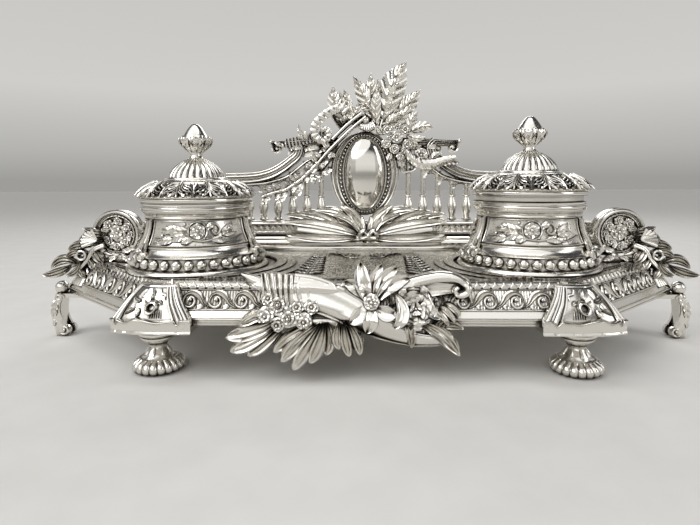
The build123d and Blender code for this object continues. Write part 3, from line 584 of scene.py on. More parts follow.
# %% The bell's profile, in mm above the field
BELL = [(30.6, 0.0), (31.0, 0.9), (30.7, 1.5), (30.2, 2.0), (29.2, 2.3), (28.5, 2.7), (28.2, 4.8), (27.9, 6.9),
        (28.5, 7.2), (28.7, 7.55), (28.3, 7.9), (27.4, 8.3), (26.4, 9.2), (25.8, 10.2), (25.7, 10.7),
        (25.9, 11.0), (25.8, 11.4), (25.25, 11.7), (24.5, 13.2), (23.6, 15.2), (22.9, 17.2), (22.35, 19.4),
        (22.05, 21.4), (21.95, 22.6), (22.4, 22.9), (22.6, 23.25), (22.3, 23.6), (22.2, 23.9), (22.6, 24.6),
        (23.2, 25.2), (23.4, 25.35), (23.4, 25.75), (24.0, 26.05), (24.1, 26.4), (23.9, 26.6), (23.9, 27.7),
        (24.15, 27.9), (24.15, 28.2), (23.9, 28.4), (24.05, 29.1), (23.85, 29.3)]
BELL_INSIDE = [(22.9, 29.3), (22.9, 25.8), (19.3, 25.8), (19.3, 21.9), (20.0, 17.5), (21.4, 14.0),
               (23.8, 11.2), (28.0, 2.4), (28.4, 0.0)]


def bell_body(bm, centre):
    points = [(r, FIELD_Z + z) for r, z in BELL + BELL_INSIDE]
    spun(bm, points, centre, segments=144)


def beads_round(bm, centre, radius_at):
    """Egg-shaped beads set in the hollow above the foot."""
    reach, middle_z = 28.2, FIELD_Z + 4.8
    for index in range(BEADS):
        place = on_turned(centre, lambda z: reach, 2 * pi * index / BEADS, reach)
        bead(bm, place, (0, middle_z), 2.2, 2.3, detail=12, tall=2.15)


def strap(bm, centre, radius_at, degrees):
    """A double-edged strap down the bell that ends in a leaf scroll over the beads."""
    place = on_turned(centre, radius_at, radians(degrees), 24)
    down = line((0, FIELD_Z + 22.8), (0, FIELD_Z + 8.6))

    def face(t, s):
        return 0.75 + 0.75 * (abs(s) > 0.62) - 0.35 * (abs(s) < 0.3) + 0.5 * max(0, t - 0.8) * 5

    strip(bm, place, down, lambda t: 2.0 + 1.5 * max(0, t - 0.55) / 0.45, face, rows=18, columns=12)
    for hand in (-1, 1):
        spiral = curl((hand * 2.3, FIELD_Z + 8.2), 2.4, 0.5, 90 + 20 * hand, 1.15 * hand)
        blade(bm, place, spiral, 0.75, 1.7, rows=20, thick=1.2, taper=0.3)
        leaf(bm, place, (hand * 0.5, FIELD_Z + 11), (hand * 4.4, FIELD_Z + 6.0), 1.5, rise=1.4, lobes=3,
             bow=-0.16 * hand, lift=0.8, rows=12, columns=6, thick=1.0)
    leaf(bm, place, (0, FIELD_Z + 10.5), (0, FIELD_Z + 3.4), 2.0, rise=1.6, lobes=3, lift=1.6, rows=12,
         columns=6, thick=1.2)
    bead(bm, place, (0, FIELD_Z + 11.4), 1.3, 2.0)


def chased_panel(bm, centre, radius_at, degrees):
    """The flower, leaves and ribbon of one panel, inside a thin raised frame."""
    z = FIELD_Z
    place = on_turned(centre, radius_at, radians(degrees), 24)
    half = 24 * radians(60) - 3.1
    for height in (12.1, 22.3):
        blade(bm, place, line((-half, z + height), (half, z + height)), 0.28, 0.55, rows=40, columns=4,
              taper=0, start=1)
    for side in (-1, 1):
        blade(bm, place, line((side * half, z + 12.1), (side * half, z + 22.3)), 0.28, 0.55, rows=10,
              columns=4, taper=0, start=1)
    rosette(bm, place, (-1.0, z + 18.0), 3.5, 6, 1.1, layers=2, eye=0.3)
    ring = curl((-1.0, z + 18.0), 3.9, 3.9, 0, 1)
    blade(bm, place, ring, 0.4, 1.1, rows=28, taper=0, start=1)
    stem = through((-half + 2, z + 15.0), (-9, z + 16.2), (-4.5, z + 14.8), (1, z + 13.9), (7, z + 14.6),
                   (12, z + 13.6), (half - 2, z + 15.6))
    blade(bm, place, stem, 0.45, 0.9, rows=44, taper=0.2, start=0.3)
    for start, tip, wide, bow in (
            ((-4.4, 18.5), (-14.5, 20.6), 2.0, 0.12), ((-4.6, 17.2), (-13.5, 17.0), 1.8, -0.05),
            ((-4.0, 16.0), (-12.0, 13.6), 1.8, -0.12), ((-2.6, 14.8), (-7.5, 12.9), 1.3, -0.1),
            ((-9.0, 20.0), (-17.5, 18.6), 1.5, 0.1), ((-10.5, 15.0), (-18.0, 13.8), 1.4, 0.05),
            ((9.0, 17.5), (15.5, 20.8), 1.6, -0.12), ((9.5, 15.8), (17.0, 16.6), 1.5, 0.1),
            ((4.4, 14.2), (10.5, 12.9), 1.3, 0.1), ((2.4, 19.4), (6.0, 21.9), 1.2, -0.1)):
        veined_leaf(bm, place, (start[0], z + start[1]), (tip[0], z + tip[1]), wide, 1.25, bow=bow,
                    lift=0.2, veins=4, thick=1.1, relief=0.8)
    ribbon = through((2.6, z + 17.6), (4.6, z + 20.4), (7.4, z + 20.6), (8.4, z + 18.0), (6.4, z + 16.4),
                     (5.0, z + 17.9), (6.2, z + 18.9))
    blade(bm, place, ribbon, 0.7, 1.1, rows=44, taper=0.3, groove=0.35, start=0.4)
    for u, v in ((1.4, 14.9), (-6.4, 20.9), (12.4, 18.6), (-16.2, 16.2)):
        bead(bm, place, (u, z + v), 0.7, 1.1, detail=7)


def knurled_ground(bm, centre, radius_at):
    """Rows of fine punch marks on the panels' ground, as small raised dots."""
    rng = random.Random(7)
    for index in range(330):
        angle = 2 * pi * rng.random()
        height = FIELD_Z + 12.6 + 9.2 * rng.random()
        bead(bm, on_turned(centre, radius_at, angle, 24), (0, height), 0.34, 0.3, detail=5)


for side in ("left", "right"):
    centre = middle_of(side + "_well_body")
    radius_at = profile_radius([(r, FIELD_Z + z) for r, z in BELL])
    well = bmesh.new()
    bell_body(well, centre)
    beads_round(well, centre, radius_at)
    for degrees in STRAP_ANGLES[side]:
        strap(well, centre, radius_at, degrees)
        chased_panel(well, centre, radius_at, degrees + 60)
    knurled_ground(well, centre, radius_at)
    finish_piece(well, side + "_bell", side + "_well", cast_silver, "silver_cast", side + "_well_body")

# %% [markdown]
# ## The lids
# A lid is turned too, but its dome was then fluted and its sloping border cast as a wreath of
# leaves whose tips hang over the plain rim. The flutes are made by drawing the dome's points in
# between one lobe and the next.

# %% The lid's profile, in mm above the collar
LEAVES_ROUND, FLUTES = 12, 24
LID_RIM = [(22.9, 0.1), (24.3, 0.1), (24.35, 0.3), (24.1, 0.5), (24.1, 1.9), (24.3, 2.1), (25.0, 2.4), (25.2, 2.7)]
LID_BORDER = [(25.2, 2.7), (25.15, 3.2), (24.1, 3.8), (23.0, 5.0), (21.2, 6.3), (19.0, 7.4), (17.3, 8.2), (16.9, 8.8)]
LID_LEDGE = [(16.4, 9.2), (15.9, 9.45), (14.4, 9.7), (13.9, 10.0), (13.8, 10.5), (13.5, 10.8), (12.7, 10.9)]
LID_DOME = [(12.5, 11.2), (12.3, 12.0), (11.6, 13.3), (10.5, 14.8), (9.0, 16.3), (7.2, 17.6), (5.2, 18.7),
            (3.8, 19.2), (3.3, 19.6)]
LID_INSIDE = [(1.66, 19.6), (1.66, 17.6), (4.2, 17.6), (7.7, 14.6), (10.4, 10.4), (14.8, 7.6), (21.6, 5.2),
              (22.9, 3.2)]
FINIAL = [(3.3, 0.0), (3.0, 0.5), (2.7, 1.2), (2.7, 1.9), (3.1, 2.8), (3.9, 3.7), (5.0, 4.7), (5.8, 5.6),
          (6.4, 6.6), (6.6, 7.6), (6.3, 8.6), (5.8, 9.3), (5.3, 10.2), (4.5, 11.5), (3.6, 12.8), (2.6, 14.0),
          (1.8, 14.8), (1.2, 15.15), (0.0, 15.2)]


def fluted(corners, centre, low, high, count, depth, sharp=0.5):
    """Draws points in between one lobe and the next, least at the top."""
    for corner in corners:
        z = corner.co.z
        if low < z < high:
            dx, dy = corner.co.x - centre[0], corner.co.y - centre[1]
            lobe = abs(sin(count * atan2(dx, -dy) / 2)) ** sharp
            share = (high - z) / (high - low)
            cut = depth * (1 - lobe) * (0.35 + 0.65 * share) * min(1, (z - low) * 2.5)
            reach = hypot(dx, dy)
            corner.co.x -= dx / reach * cut
            corner.co.y -= dy / reach * cut
            corner.co.z -= 0.35 * cut


def lid_border(bm, centre, z):
    """The wreath: broad leaves with their tips over the rim, and slim ones between them."""
    curve = [(r, z + h) for r, h in LID_BORDER]

    def at(v):
        """A point on the border, v from 0 at the rim to 1 at the ledge."""
        place_along = max(0.0, min(0.9999, v)) * (len(curve) - 1)
        index = int(place_along)
        share = place_along - index
        (r0, z0), (r1, z1) = curve[index], curve[index + 1]
        extra = v - max(0.0, min(0.9999, v))
        slope = Vector((r1 - r0, z1 - z0))
        out = Vector((slope.y, -slope.x)).normalized()
        if out.x < 0 and out.y < 0:
            out = -out
        point = Vector((r0 + (r1 - r0) * share, z0 + (z1 - z0) * share)) + extra * Vector((0, 1)) * 9
        return point, out

    def on_border(angle):
        def place(u, v, h):
            point, out = at(v / 10)
            spot = point + out * h
            turn = angle + u / 24 * (0.75 + 0.25 * spot.x / 24)
            return Vector((centre[0] + spot.x * sin(turn), centre[1] - spot.x * cos(turn), spot.y))
        return place

    def ribbed_leaf(place, root, tip, half, ribs):
        """A midrib with pairs of slanting side ribs, longest in the middle."""
        way = 1 if tip > root else -1
        length = abs(tip - root)
        blade(bm, place, line((0, root), (0, tip)), 0.62, 1.9, rows=10, columns=4, taper=0.3, start=0.7, thick=1.0)
        for index in range(ribs):
            at_v = root + way * length * (0.06 + 0.62 * index / ribs)
            reach = half * sin(pi * (0.3 + 0.6 * index / ribs))
            for hand in (-1, 1):
                end = (hand * reach, at_v + way * length * 0.34)
                blade(bm, place, line((hand * 0.2, at_v), end, 0.14 * hand * way), 0.5, 1.5, rows=7, columns=4,
                      taper=0.35, start=0.7, thick=0.9)

    step = 2 * pi / LEAVES_ROUND
    for index in range(LEAVES_ROUND):
        ribbed_leaf(on_border(index * step), 9.4, 0.4, 4.6, 5)
        ribbed_leaf(on_border((index + 0.5) * step), 1.0, 9.0, 2.6, 3)
    for index in range(LEAVES_ROUND * 4):
        bead(bm, on_border((index + 0.5) * step / 4), (0, 0.5), 1.25, 0.75, detail=8, tall=0.9)


def knob(bm, centre, z):
    """The finial: a bud held in a ring of leaves, with a plain cap."""
    spun(bm, [(r, z + h) for r, h in FINIAL] + [(0.0, z - 4.0), (1.6, z - 4.0), (1.6, z)], centre,
         segments=48)
    radius_at = profile_radius([(r, z + h) for r, h in FINIAL])
    for index in range(8):
        angle = 2 * pi * (index + 0.5) / 8
        place = on_turned(centre, radius_at, angle, 6.5)
        leaf(bm, place, (0, z + 2.6), (0, z + 8.6), 1.9, rise=0.3, lobes=2, notch=0.2, cup=0.15, lift=0.75,
             rows=10, columns=6, thick=0.5, blunt=1.2)
        place = on_turned(centre, radius_at, angle + pi / 8, 6.5)
        leaf(bm, place, (0, z + 6.2), (0, z + 9.7), 1.5, rise=0.35, lobes=2, cup=0.1, lift=0.3, rows=8,
             columns=6, thick=0.5)
        bead(bm, place, (0, z + 5.6), 0.75, 0.9, detail=7)


for side in ("left", "right"):
    centre = middle_of(side + "_lid")
    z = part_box(side + "_lid")[0].z / MM
    cover = bmesh.new()
    profile = LID_RIM + LID_BORDER[1:] + LID_LEDGE + LID_DOME + LID_INSIDE
    low, high = z + 10.95, z + 19.5

    def shape(corners, centre=centre, low=low, high=high):
        outer = [v for v in corners if hypot(v.co.x - centre[0], v.co.y - centre[1]) > 3.4]
        fluted(outer, centre, low, high, FLUTES, 1.15)

    spun(cover, [(r, z + h) for r, h in profile], centre, segments=FLUTES * 10, shape=shape)
    lid_border(cover, centre, z)
    finish_piece(cover, side + "_cover", side + "_lid_group", cast_silver, "silver_cast", side + "_lid")
    rim = bmesh.new()
    spun(rim, [(23.9, z + 0.5), (24.3, z + 0.6), (24.42, z + 0.95), (24.42, z + 1.6), (24.3, z + 1.9), (23.9, z + 2.0)],
         centre, segments=144)
    finish_piece(rim, side + "_rim_band", side + "_lid_group", bright_silver, "silver_polished")
    collar = bmesh.new()
    top = COLLAR_Z - 2.7
    spun(collar, [(23.6, top), (24.0, top + 0.05), (24.12, top + 0.3), (24.12, top + 0.8), (24.0, top + 1.05),
                  (23.6, top + 1.1)], centre, segments=144)
    finish_piece(collar, side + "_collar_band", side + "_well", bright_silver, "silver_polished")
    crown = bmesh.new()
    knob(crown, centre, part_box(side + "_lid")[1].z / MM)
    finish_piece(crown, side + "_knob", side + "_lid_group", cast_silver, "silver_cast", side + "_finial")

# %% [markdown]
# ## The tray
# The skirt is six lengths of one moulding, mitred together, so the plain pieces of the model are
# kept for it, and its cast ornament is laid on them: a running scroll on the leaning frieze, a row
# of small leaves under the edge and lines along the foot. One place function serves all six sides,
# because only the two corners change.

# %% The sides of the tray
SKIRT = [(0.0, 21.0), (0.0, 24.0), (1.8, 26.3), (5.6, 33.7), (5.2, 34.6), (5.8, 35.9), (6.8, 36.5)]
CORNER_X, CORNER_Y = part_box("front_skirt")[1].x / MM, -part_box("front_skirt")[0].y / MM
END_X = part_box("front_right_skirt")[1].x / MM
RAKE = atan2(CORNER_Y, END_X - CORNER_X)
inset_at = profile_radius(SKIRT)
CORNERS = [(-CORNER_X, -CORNER_Y), (CORNER_X, -CORNER_Y), (END_X, 0), (CORNER_X, CORNER_Y),
           (-CORNER_X, CORNER_Y), (-END_X, 0)]
print("tray corners", [(round(x, 1), round(y, 1)) for x, y in CORNERS[:3]], "rake", round(RAKE * 180 / pi, 1))


def along_side(start, end):
    """Places on the skirt: across runs from the side's middle, up is height, out is outward."""
    a, b = Vector(start), Vector(end)
    middle, way = (a + b) / 2, (b - a).normalized()
    inward = Vector((-way.y, way.x))

    def place(u, v, h):
        slope = (inset_at(v + 0.05) - inset_at(v - 0.05)) / 0.1
        scale = hypot(1, slope)
        spot = middle + way * u + inward * (inset_at(v) - h / scale)
        return Vector((spot.x, spot.y, v + h * slope / scale))

    return place, (b - a).length / 2


def running_scroll(bm, place, u, hand):
    """One wave of the frieze: it climbs, turns over and curls into an eye."""
    wave = [(-7.6, -2.3), (-5.2, -1.1), (-3.2, 1.2), (-0.6, 2.4), (1.9, 1.7), (2.9, -0.2), (1.9, -2.0),
            (-0.1, -2.3), (-1.5, -1.2), (-1.2, 0.3), (0.1, 0.7), (0.7, -0.3)]
    path = through(*[(u + hand * x, 29.9 + z * 1.12) for x, z in wave])

    def outline(t):
        return 0.42 + 0.75 * sin(pi * min(1, t * 2.4)) ** 2 * (t < 0.42) + 0.1 * t

    def face(t, s):
        return (0.95 + 0.35 * t) * sqrt(max(0.0, 1 - 0.8 * s * s)) - 0.45 * max(0, 1 - abs(s) * 3) * (t < 0.5)

    strip(bm, place, path, outline, face, rows=42, columns=6, thick=1.1)
    bead(bm, place, (u, 29.9), 0.75, 1.5, detail=8)
    leaf(bm, place, (u - hand * 5.4, 27.9), (u - hand * 2.2, 27.2), 0.9, rise=0.8, lobes=2, cup=0, rows=8,
         columns=4, thick=0.9)


def ridge(bm, place, half, z, wide, rise, columns=4):
    """A straight moulding along a side, mitred by the slope of its ends."""
    reach = half - inset_at(z) * MITRE
    blade(bm, place, line((-reach, z), (reach, z)), wide, rise, rows=2, columns=columns, taper=0, start=1)


def frieze(bm, start, end, ground, hand_from=0.0, clear=4.0):
    """The whole ornament of one side."""
    place, half = along_side(start, end)
    for z, wide, rise in ((21.6, 0.5, 0.35), (23.5, 0.45, 0.6), (26.5, 0.35, 0.55), (33.5, 0.35, 0.6),
                          (34.75, 0.3, 0.25)):
        ridge(bm, place, half, z, wide, rise)
    pitch, reach = 10.0, half - clear - 3
    count = int(2 * reach / pitch)
    for index in range(count):
        u = (index - (count - 1) / 2) * pitch
        hand = 1 if u >= hand_from else -1
        running_scroll(bm, place, u + hand * 1.5, hand)
    if ground == "lined":
        steps = int(2 * (half - clear) / 1.05)
        for index in range(steps):
            u = -half + clear + 1.05 * (index + 0.5)
            strip(bm, place, line((u, 26.9), (u, 33.1)), lambda t: 0.2, lambda t, s: 0.22 - 0.1 * abs(s),
                  rows=2, columns=2, thick=0.5)
    else:
        rng = random.Random(11)
        for index in range(int(half * 9)):
            u, z = (half - clear) * (2 * rng.random() - 1), 27.0 + 6.0 * rng.random()
            bead(bm, place, (u, z), 0.3, 0.35, detail=5)
    tongues = int(2 * (half - 5) / 3.4)
    for index in range(tongues):
        u = (index - (tongues - 1) / 2) * 3.4
        leaf(bm, place, (u, 36.4), (u + 0.35, 33.6), 1.45, rise=0.45, lobes=2, notch=0.2, cup=0.05,
             rows=7, columns=4, thick=0.6, blunt=0.55)


def end_leaf(bm, hand):
    """The ribbed leaf that covers the mitre at one end of the tray."""
    def place(u, v, h):
        x = END_X - inset_at(v) / sin(RAKE) - (sqrt(u * u + 1.2) - 1.1) / tan(RAKE) + h
        return Vector((hand * x, u, v))

    for index in range(-4, 5):
        spread = index * 1.15
        blade(bm, place, line((spread * 0.7, 34.2), (spread * 1.5, 25.6)), 0.62, 0.95, rows=8, columns=4,
              taper=0.35, start=0.5, thick=0.9)
    leaf(bm, place, (0, 36.0), (0, 22.2), 1.9, rise=1.1, lobes=4, rows=16, columns=6, lift=0.3, thick=1.0)
    for side in (-1, 1):
        leaf(bm, place, (side * 1.0, 36.2), (side * 6.2, 31.0), 1.5, rise=0.8, lobes=3, rows=10, columns=6)


MITRE = tan(RAKE / 2)
names = ("front", "front_right", "rear_right", "rear", "rear_left", "front_left")
for index, name in enumerate(names):
    start, end = CORNERS[index], CORNERS[(index + 1) % 6]
    side_relief = bmesh.new()
    frieze(side_relief, start, end, "lined" if name in ("front", "rear") else "dotted",
           clear=6 if name in ("front", "rear") else 9)
    finish_piece(side_relief, name + "_frieze", "stand", cast_silver, "silver_cast")
for hand, name in ((1, "right"), (-1, "left")):
    mitre_leaf = bmesh.new()
    end_leaf(mitre_leaf, hand)
    finish_piece(mitre_leaf, name + "_mitre_leaf", "stand", cast_silver, "silver_cast")

# %% [markdown]
# ## The corner blocks
# A block hides the mitre over each foot. Its two faces swell out and meet in a ridge, and a lip
# with a wavy edge runs round its foot. It is a grid whose rows are the block's plan at each
# height: that keeps the ridge and both ends where they belong while the faces swell.

# %% The block's plan at a height
BLOCK_LOW, LIP_TOP, BLOCK_TOP = 19.0, 24.0, 36.0
BLOCK_OUT = [(4.6, 19.0), (4.6, 23.4), (4.4, 24.2), (3.8, 25.2), (2.7, 27.2), (1.3, 29.6), (-0.4, 32.0),
             (-2.4, 34.4), (-4.0, 36.0)]
FRONT_RUN, SIDE_RUN, LOW_TURN = 20.5, 10.5, radians(17)
reach_at = profile_radius(BLOCK_OUT)


def block_place(swell=1.0):
    """Places on the front right block: across is -1 at its front end, 0 at the ridge, 1 at its
    side end, up is height."""
    def place(u, v, h):
        share = max(0.0, (v - LIP_TOP) / (BLOCK_TOP - LIP_TOP))
        reach = reach_at(v)
        ridge_x = END_X + reach / sin(RAKE) - (CORNER_Y + reach) / tan(RAKE)
        ridge = Vector((ridge_x, -CORNER_Y - reach))
        shrink = 1 - (0.52 if u <= 0 else 0.35) * share
        turn = LOW_TURN + (RAKE - LOW_TURN) * min(1, max(0, share)) ** 1.2
        bulge = swell * 1.1 * sin(pi * min(1, max(0, share))) + 0.25
        if u <= 0:
            way, out, run = Vector((-1, 0)), Vector((0, -1)), FRONT_RUN * shrink
        else:
            way, out = Vector((cos(turn), sin(turn))), Vector((sin(turn), -cos(turn)))
            run = SIDE_RUN * shrink
        across = abs(u)
        spot = ridge + way * across * run + out * (h - 0.6 + bulge * sin(pi * across) * 0.8)
        return Vector((spot.x, spot.y, v))

    return place


def corner_block(bm):
    """The front right block, with its flange, straps, boss and wavy lip."""
    place = block_place()
    wall = slab(28, 20)
    for corner in wall.verts:
        u, v = corner.co.x, BLOCK_LOW + (corner.co.y + 1) / 2 * (BLOCK_TOP - BLOCK_LOW)
        corner.co = place(u, v, corner.co.z * 1.6)
    cast_onto(bm, wall)

    def edge_of_lip(u):
        """The height of the lip's upper edge: nearly level, with a notch before each end piece."""
        across = abs(u)
        notch = 1.7 * max(0, 1 - abs(across - 0.78) / 0.07)
        return 24.1 + 0.8 * max(0, 1 - across * 2.6) ** 1.5 - 0.7 * sin(pi * min(1, across * 1.25)) ** 2 - notch

    def lip_place(u, v, h):
        return place(u, BLOCK_LOW - 0.05 + (v + 1) / 2 * (edge_of_lip(u) - BLOCK_LOW), h)

    strip(bm, lip_place, line((-1.02, 0), (1.03, 0)), lambda t: 1.0, lambda t, s: 1.25 - 0.35 * (abs(s) < 0.72),
          rows=90, columns=10, thick=1.3)

    def edge_place(u, v, h):
        return place(u, edge_of_lip(u) + v, h)

    blade(bm, edge_place, line((-1.02, 0), (1.03, 0)), 0.42, 1.75, rows=90, columns=6, thick=1.4, taper=0, start=1)
    for share in (-0.95, -0.80, 0.78, 0.95):
        path = line((share, 22.0), (share * 0.97, 35.3))
        strip(bm, place, path, lambda t: 0.045 if share < 0 else 0.075,
              lambda t, s: 1.1 * sqrt(max(0, 1 - 0.75 * s * s)), rows=18, columns=5, thick=1.0)
    for share in (-0.875, 0.865, -0.70, 0.66):
        path = line((share, 22.4), (share * 0.97, 35.0))
        strip(bm, place, path, lambda t: 0.018 if share < 0 else 0.03, lambda t, s: 0.65, rows=18,
              columns=2, thick=0.8)

    def at_ridge(u, v, h):
        """Places by mm from the ridge."""
        share = max(0.0, (v - LIP_TOP) / (BLOCK_TOP - LIP_TOP))
        run = FRONT_RUN * (1 - 0.52 * share) if u < 0 else SIDE_RUN * (1 - 0.35 * share)
        return place(u / run, v, h)

    blade(bm, at_ridge, curl((-4.6, 28.6), 1.9, 1.9, 0, 1), 0.75, 2.1, rows=28, columns=6, thick=1.2, taper=0, start=1)
    for u in (-8.6, -7.8, -7.0, -6.2, -5.4, -4.6):
        blade(bm, at_ridge, line((u, 27.6), (u * 1.1, 24.8)), 0.24, 0.7, rows=6, taper=0.3, start=0.6)
    blade(bm, at_ridge, through((-5.0, 34.6), (-6.2, 33.2), (-8.2, 32.6), (-8.6, 31.2)), 0.45, 0.9, rows=20, taper=0.4,
          start=0.5)
    for u, v, wide, tall, rise in ((0.0, 26.8, 0.9, 1.6, 1.5), (2.4, 28.6, 0.7, 0.9, 1.0)):
        bead(bm, at_ridge, (u, v), wide, rise, detail=12, tall=tall)
    for start, tip, wide, bow in (((-3.4, 30.6), (-1.6, 34.6), 0.9, 0.16), ((0.4, 30.6), (4.2, 32.2), 0.9, -0.16),
                                  ((-2.6, 28.0), (-0.6, 30.8), 0.7, 0.1), ((0.6, 31.4), (1.0, 34.4), 0.8, -0.1),
                                  ((-5.8, 30.4), (-8.6, 29.2), 0.7, -0.16), ((1.8, 27.6), (5.6, 25.6), 0.8, 0.16)):
        flowing(bm, at_ridge, start, tip, wide, 0.8, bow, rows=14, thick=0.8)
    strip(bm, place, line((-0.99, 35.5), (0.99, 35.5)), lambda t: 0.5, lambda t, s: 0.8 - 0.3 * s * s, rows=24,
          columns=4, thick=0.9)


def pilaster(bm):
    """The strap on the skirt beside the block's front end, with a bright edge on each side."""
    place, half = along_side(CORNERS[0], CORNERS[1])
    path = line((half - 7.6, 36.0), (half - 12.4, 21.4))
    strip(bm, place, path, lambda t: 1.9 + 0.5 * t, lambda t, s: 0.5 + 0.9 * (abs(s) > 0.6), rows=16, columns=10,
          thick=0.9)


def flange(bm):
    """The flat plate under the skirt that the foot is screwed to."""
    place = block_place(0)
    plate = bmesh.new()
    outer = [place(u, BLOCK_LOW, -0.8) for u in (-1, -0.5, 0, 0.5, 1)]
    inner = [outer[-1] + Vector((-7, 22, 0)), outer[0] + Vector((0, 23, 0))]
    rim = [plate.verts.new(point) for point in outer + inner]
    face = plate.faces.new(rim)
    made = bmesh.ops.extrude_face_region(plate, geom=[face])
    bmesh.ops.translate(plate, vec=(0, 0, 2), verts=[v for v in made["geom"] if isinstance(v, bmesh.types.BMVert)])
    cast_onto(bm, plate)
    foot = middle_of("right_front_foot")
    spun(bm, [(2.1, BLOCK_LOW), (4.6, BLOCK_LOW), (4.6, 22.5), (2.1, 22.5)], foot, segments=24)


quarters = ("right_front", "left_front", "right_rear", "left_rear")
for x, y, quarter in zip((1, -1, 1, -1), (1, 1, -1, -1), quarters):
    cast = bmesh.new()
    corner_block(cast)
    pilaster(cast)
    flange(cast)
    bmesh.ops.scale(cast, vec=(x, y, 1), verts=cast.verts)
    finish_piece(cast, quarter + "_block_cast", "stand", cast_silver, "silver_cast", quarter + "_corner_block")

# %% [markdown]
# ## The feet
# A foot is turned, then its swelling base is gadrooned: cut into round lobes all the way round,
# like the lid's dome but upside down. The collar and neck stay plain and bright.

# %% The foot's profile
FOOT = [(0.0, 0.0), (7.6, 0.0), (8.6, 0.25), (9.6, 0.9), (10.2, 1.9), (10.25, 2.8), (9.8, 3.9), (9.0, 4.8), (7.9, 5.4),
        (7.2, 5.7), (6.7, 5.5), (6.2, 5.6), (5.6, 6.2), (5.2, 7.0), (4.5, 8.0), (3.7, 8.9), (3.2, 9.7), (3.15, 10.3),
        (3.6, 10.6), (3.8, 10.9), (3.5, 11.2), (3.8, 11.6), (4.8, 12.0), (5.6, 12.6), (5.8, 13.0), (6.3, 13.1),
        (6.6, 13.5), (6.6, 14.0), (6.2, 14.4), (6.2, 14.7), (7.2, 14.9), (7.6, 15.4), (7.6, 15.9), (7.2, 16.4),
        (6.4, 16.6), (5.5, 17.0), (5.5, 19.0), (2.1, 19.0), (2.1, 8.0), (0.0, 8.0)]
GADROONS = 20


def turned_foot(bm, centre):
    def shape(corners):
        for corner in corners:
            z = corner.co.z
            dx, dy = corner.co.x - centre[0], corner.co.y - centre[1]
            reach = hypot(dx, dy)
            if 0.1 < z < 5.5 and reach > 7.3:
                lobe = abs(sin(GADROONS * atan2(dx, dy) / 2)) ** 0.55
                cut = 0.7 * (1 - lobe) * min(1, (reach - 7.3) / 1.2)
                corner.co.x -= dx / reach * cut
                corner.co.y -= dy / reach * cut
                corner.co.z += (2.4 - z) * 0.22 * (1 - lobe)

    spun(bm, FOOT, centre, segments=GADROONS * 8, closed=False, shape=shape)
    radius_at = profile_radius([(5.4, 6.6), (4.5, 8.0), (3.2, 9.7)])
    for index in range(8):
        place = on_turned(centre, radius_at, 2 * pi * index / 8, 4.5)
        blade(bm, place, line((0, 6.7), (0, 9.6)), 0.75, 0.5, rows=8, columns=4, taper=0.5, start=0.4)


for quarter in quarters:
    name = quarter + "_foot"
    foot = bmesh.new()
    turned_foot(foot, middle_of(name))
    finish_piece(foot, quarter + "_foot_cast", "stand", cast_silver, "silver_cast", name)

# %% [markdown]
# ## The field of the tray
# The top of the tray is a flat sheet, chased with a border, with sprays of small paired leaves and
# with rings round each well's place. The plate and its stepped rings are kept, and the chasing lies
# on them a few tenths of a millimetre high, as it does when the ground round it is punched down.

# %% Chasing on the field
def on_field(u, v, h):
    return Vector((u, v, FIELD_Z + h))


def chased_spray(bm, start, end, pairs, wide):
    """A stem with pairs of small leaves that slant towards its end."""
    path = line(start, end)
    blade(bm, on_field, path, 0.45, 0.5, rows=pairs * 2, columns=4, taper=0.3, start=0.6)
    for index in range(pairs):
        (u, v), (du, dv) = path((index + 0.5) / pairs)
        reach = wide * (1 - 0.45 * index / pairs)
        for hand in (-1, 1):
            tip = (u + du * reach * 0.75 - dv * hand * reach, v + dv * reach * 0.75 + du * hand * reach)
            leaf(bm, on_field, (u, v), tip, reach * 0.22, rise=0.9, lobes=0, bow=0.16 * hand, rows=8, columns=4,
                 cup=0.0, thick=0.5)


field = bmesh.new()
for index in range(6):
    a, b = Vector(CORNERS[index]), Vector(CORNERS[(index + 1) % 6])
    middle, way = (a + b) / 2, (b - a).normalized()
    inward = Vector((-way.y, way.x))
    for inset, wide, rise in ((9.9, 0.35, 0.5), (11.4, 0.25, 0.35), (12.2, 0.25, 0.35)):
        reach = (b - a).length / 2 - inset * MITRE
        p, q = middle + inward * inset - way * reach, middle + inward * inset + way * reach
        blade(field, on_field, line(tuple(p), tuple(q)), wide, rise, rows=2, columns=4, taper=0, start=1)
for hand in (-1, 1):
    chased_spray(field, (hand * 24.0, -36.0), (hand * 23.0, 12.0), 8, 6.0)
    chased_spray(field, (hand * 3.0, 14.0), (hand * 17.0, 24.0), 4, 4.6)
    chased_spray(field, (hand * 122.0, -8.0), (hand * 112.0, -26.0), 5, 4.4)
    blade(field, on_field, through((hand * 6.0, 22.0), (hand * 11.0, 18.0), (hand * 9.0, 10.0), (hand * 3.0, 8.0)), 0.6,
          0.8, rows=24, columns=4, taper=0.3, start=0.5)
rng = random.Random(23)
for index in range(900):
    u, v = 28 * (2 * rng.random() - 1), -40 + 68 * rng.random()
    bead(field, on_field, (u, v), 0.22, 0.22, detail=4)
finish_piece(field, "field_chasing", "stand", field_silver, "silver_field")

# %% [markdown]
# ## The gallery
# The gallery is one openwork casting: moulded rails with turned balusters, an oval frame with a
# polished boss, and a broken pediment that runs into loose foliage. The plain plates stand just
# where the casting does, so each group of them is replaced by a modelled one of the same reach.
# Its front is a flat plane, and everything on it is laid on in strips.

# %% The gallery's planes
GALLERY_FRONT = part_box("gallery_bottom_rail")[0].y / MM
GALLERY_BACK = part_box("gallery_bottom_rail")[1].y / MM
GALLERY_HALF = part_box("gallery_bottom_rail")[1].x / MM
RAIL_TOP, OVAL_Z, RAIL_END_Z = 53.0, 78.5, 79.5


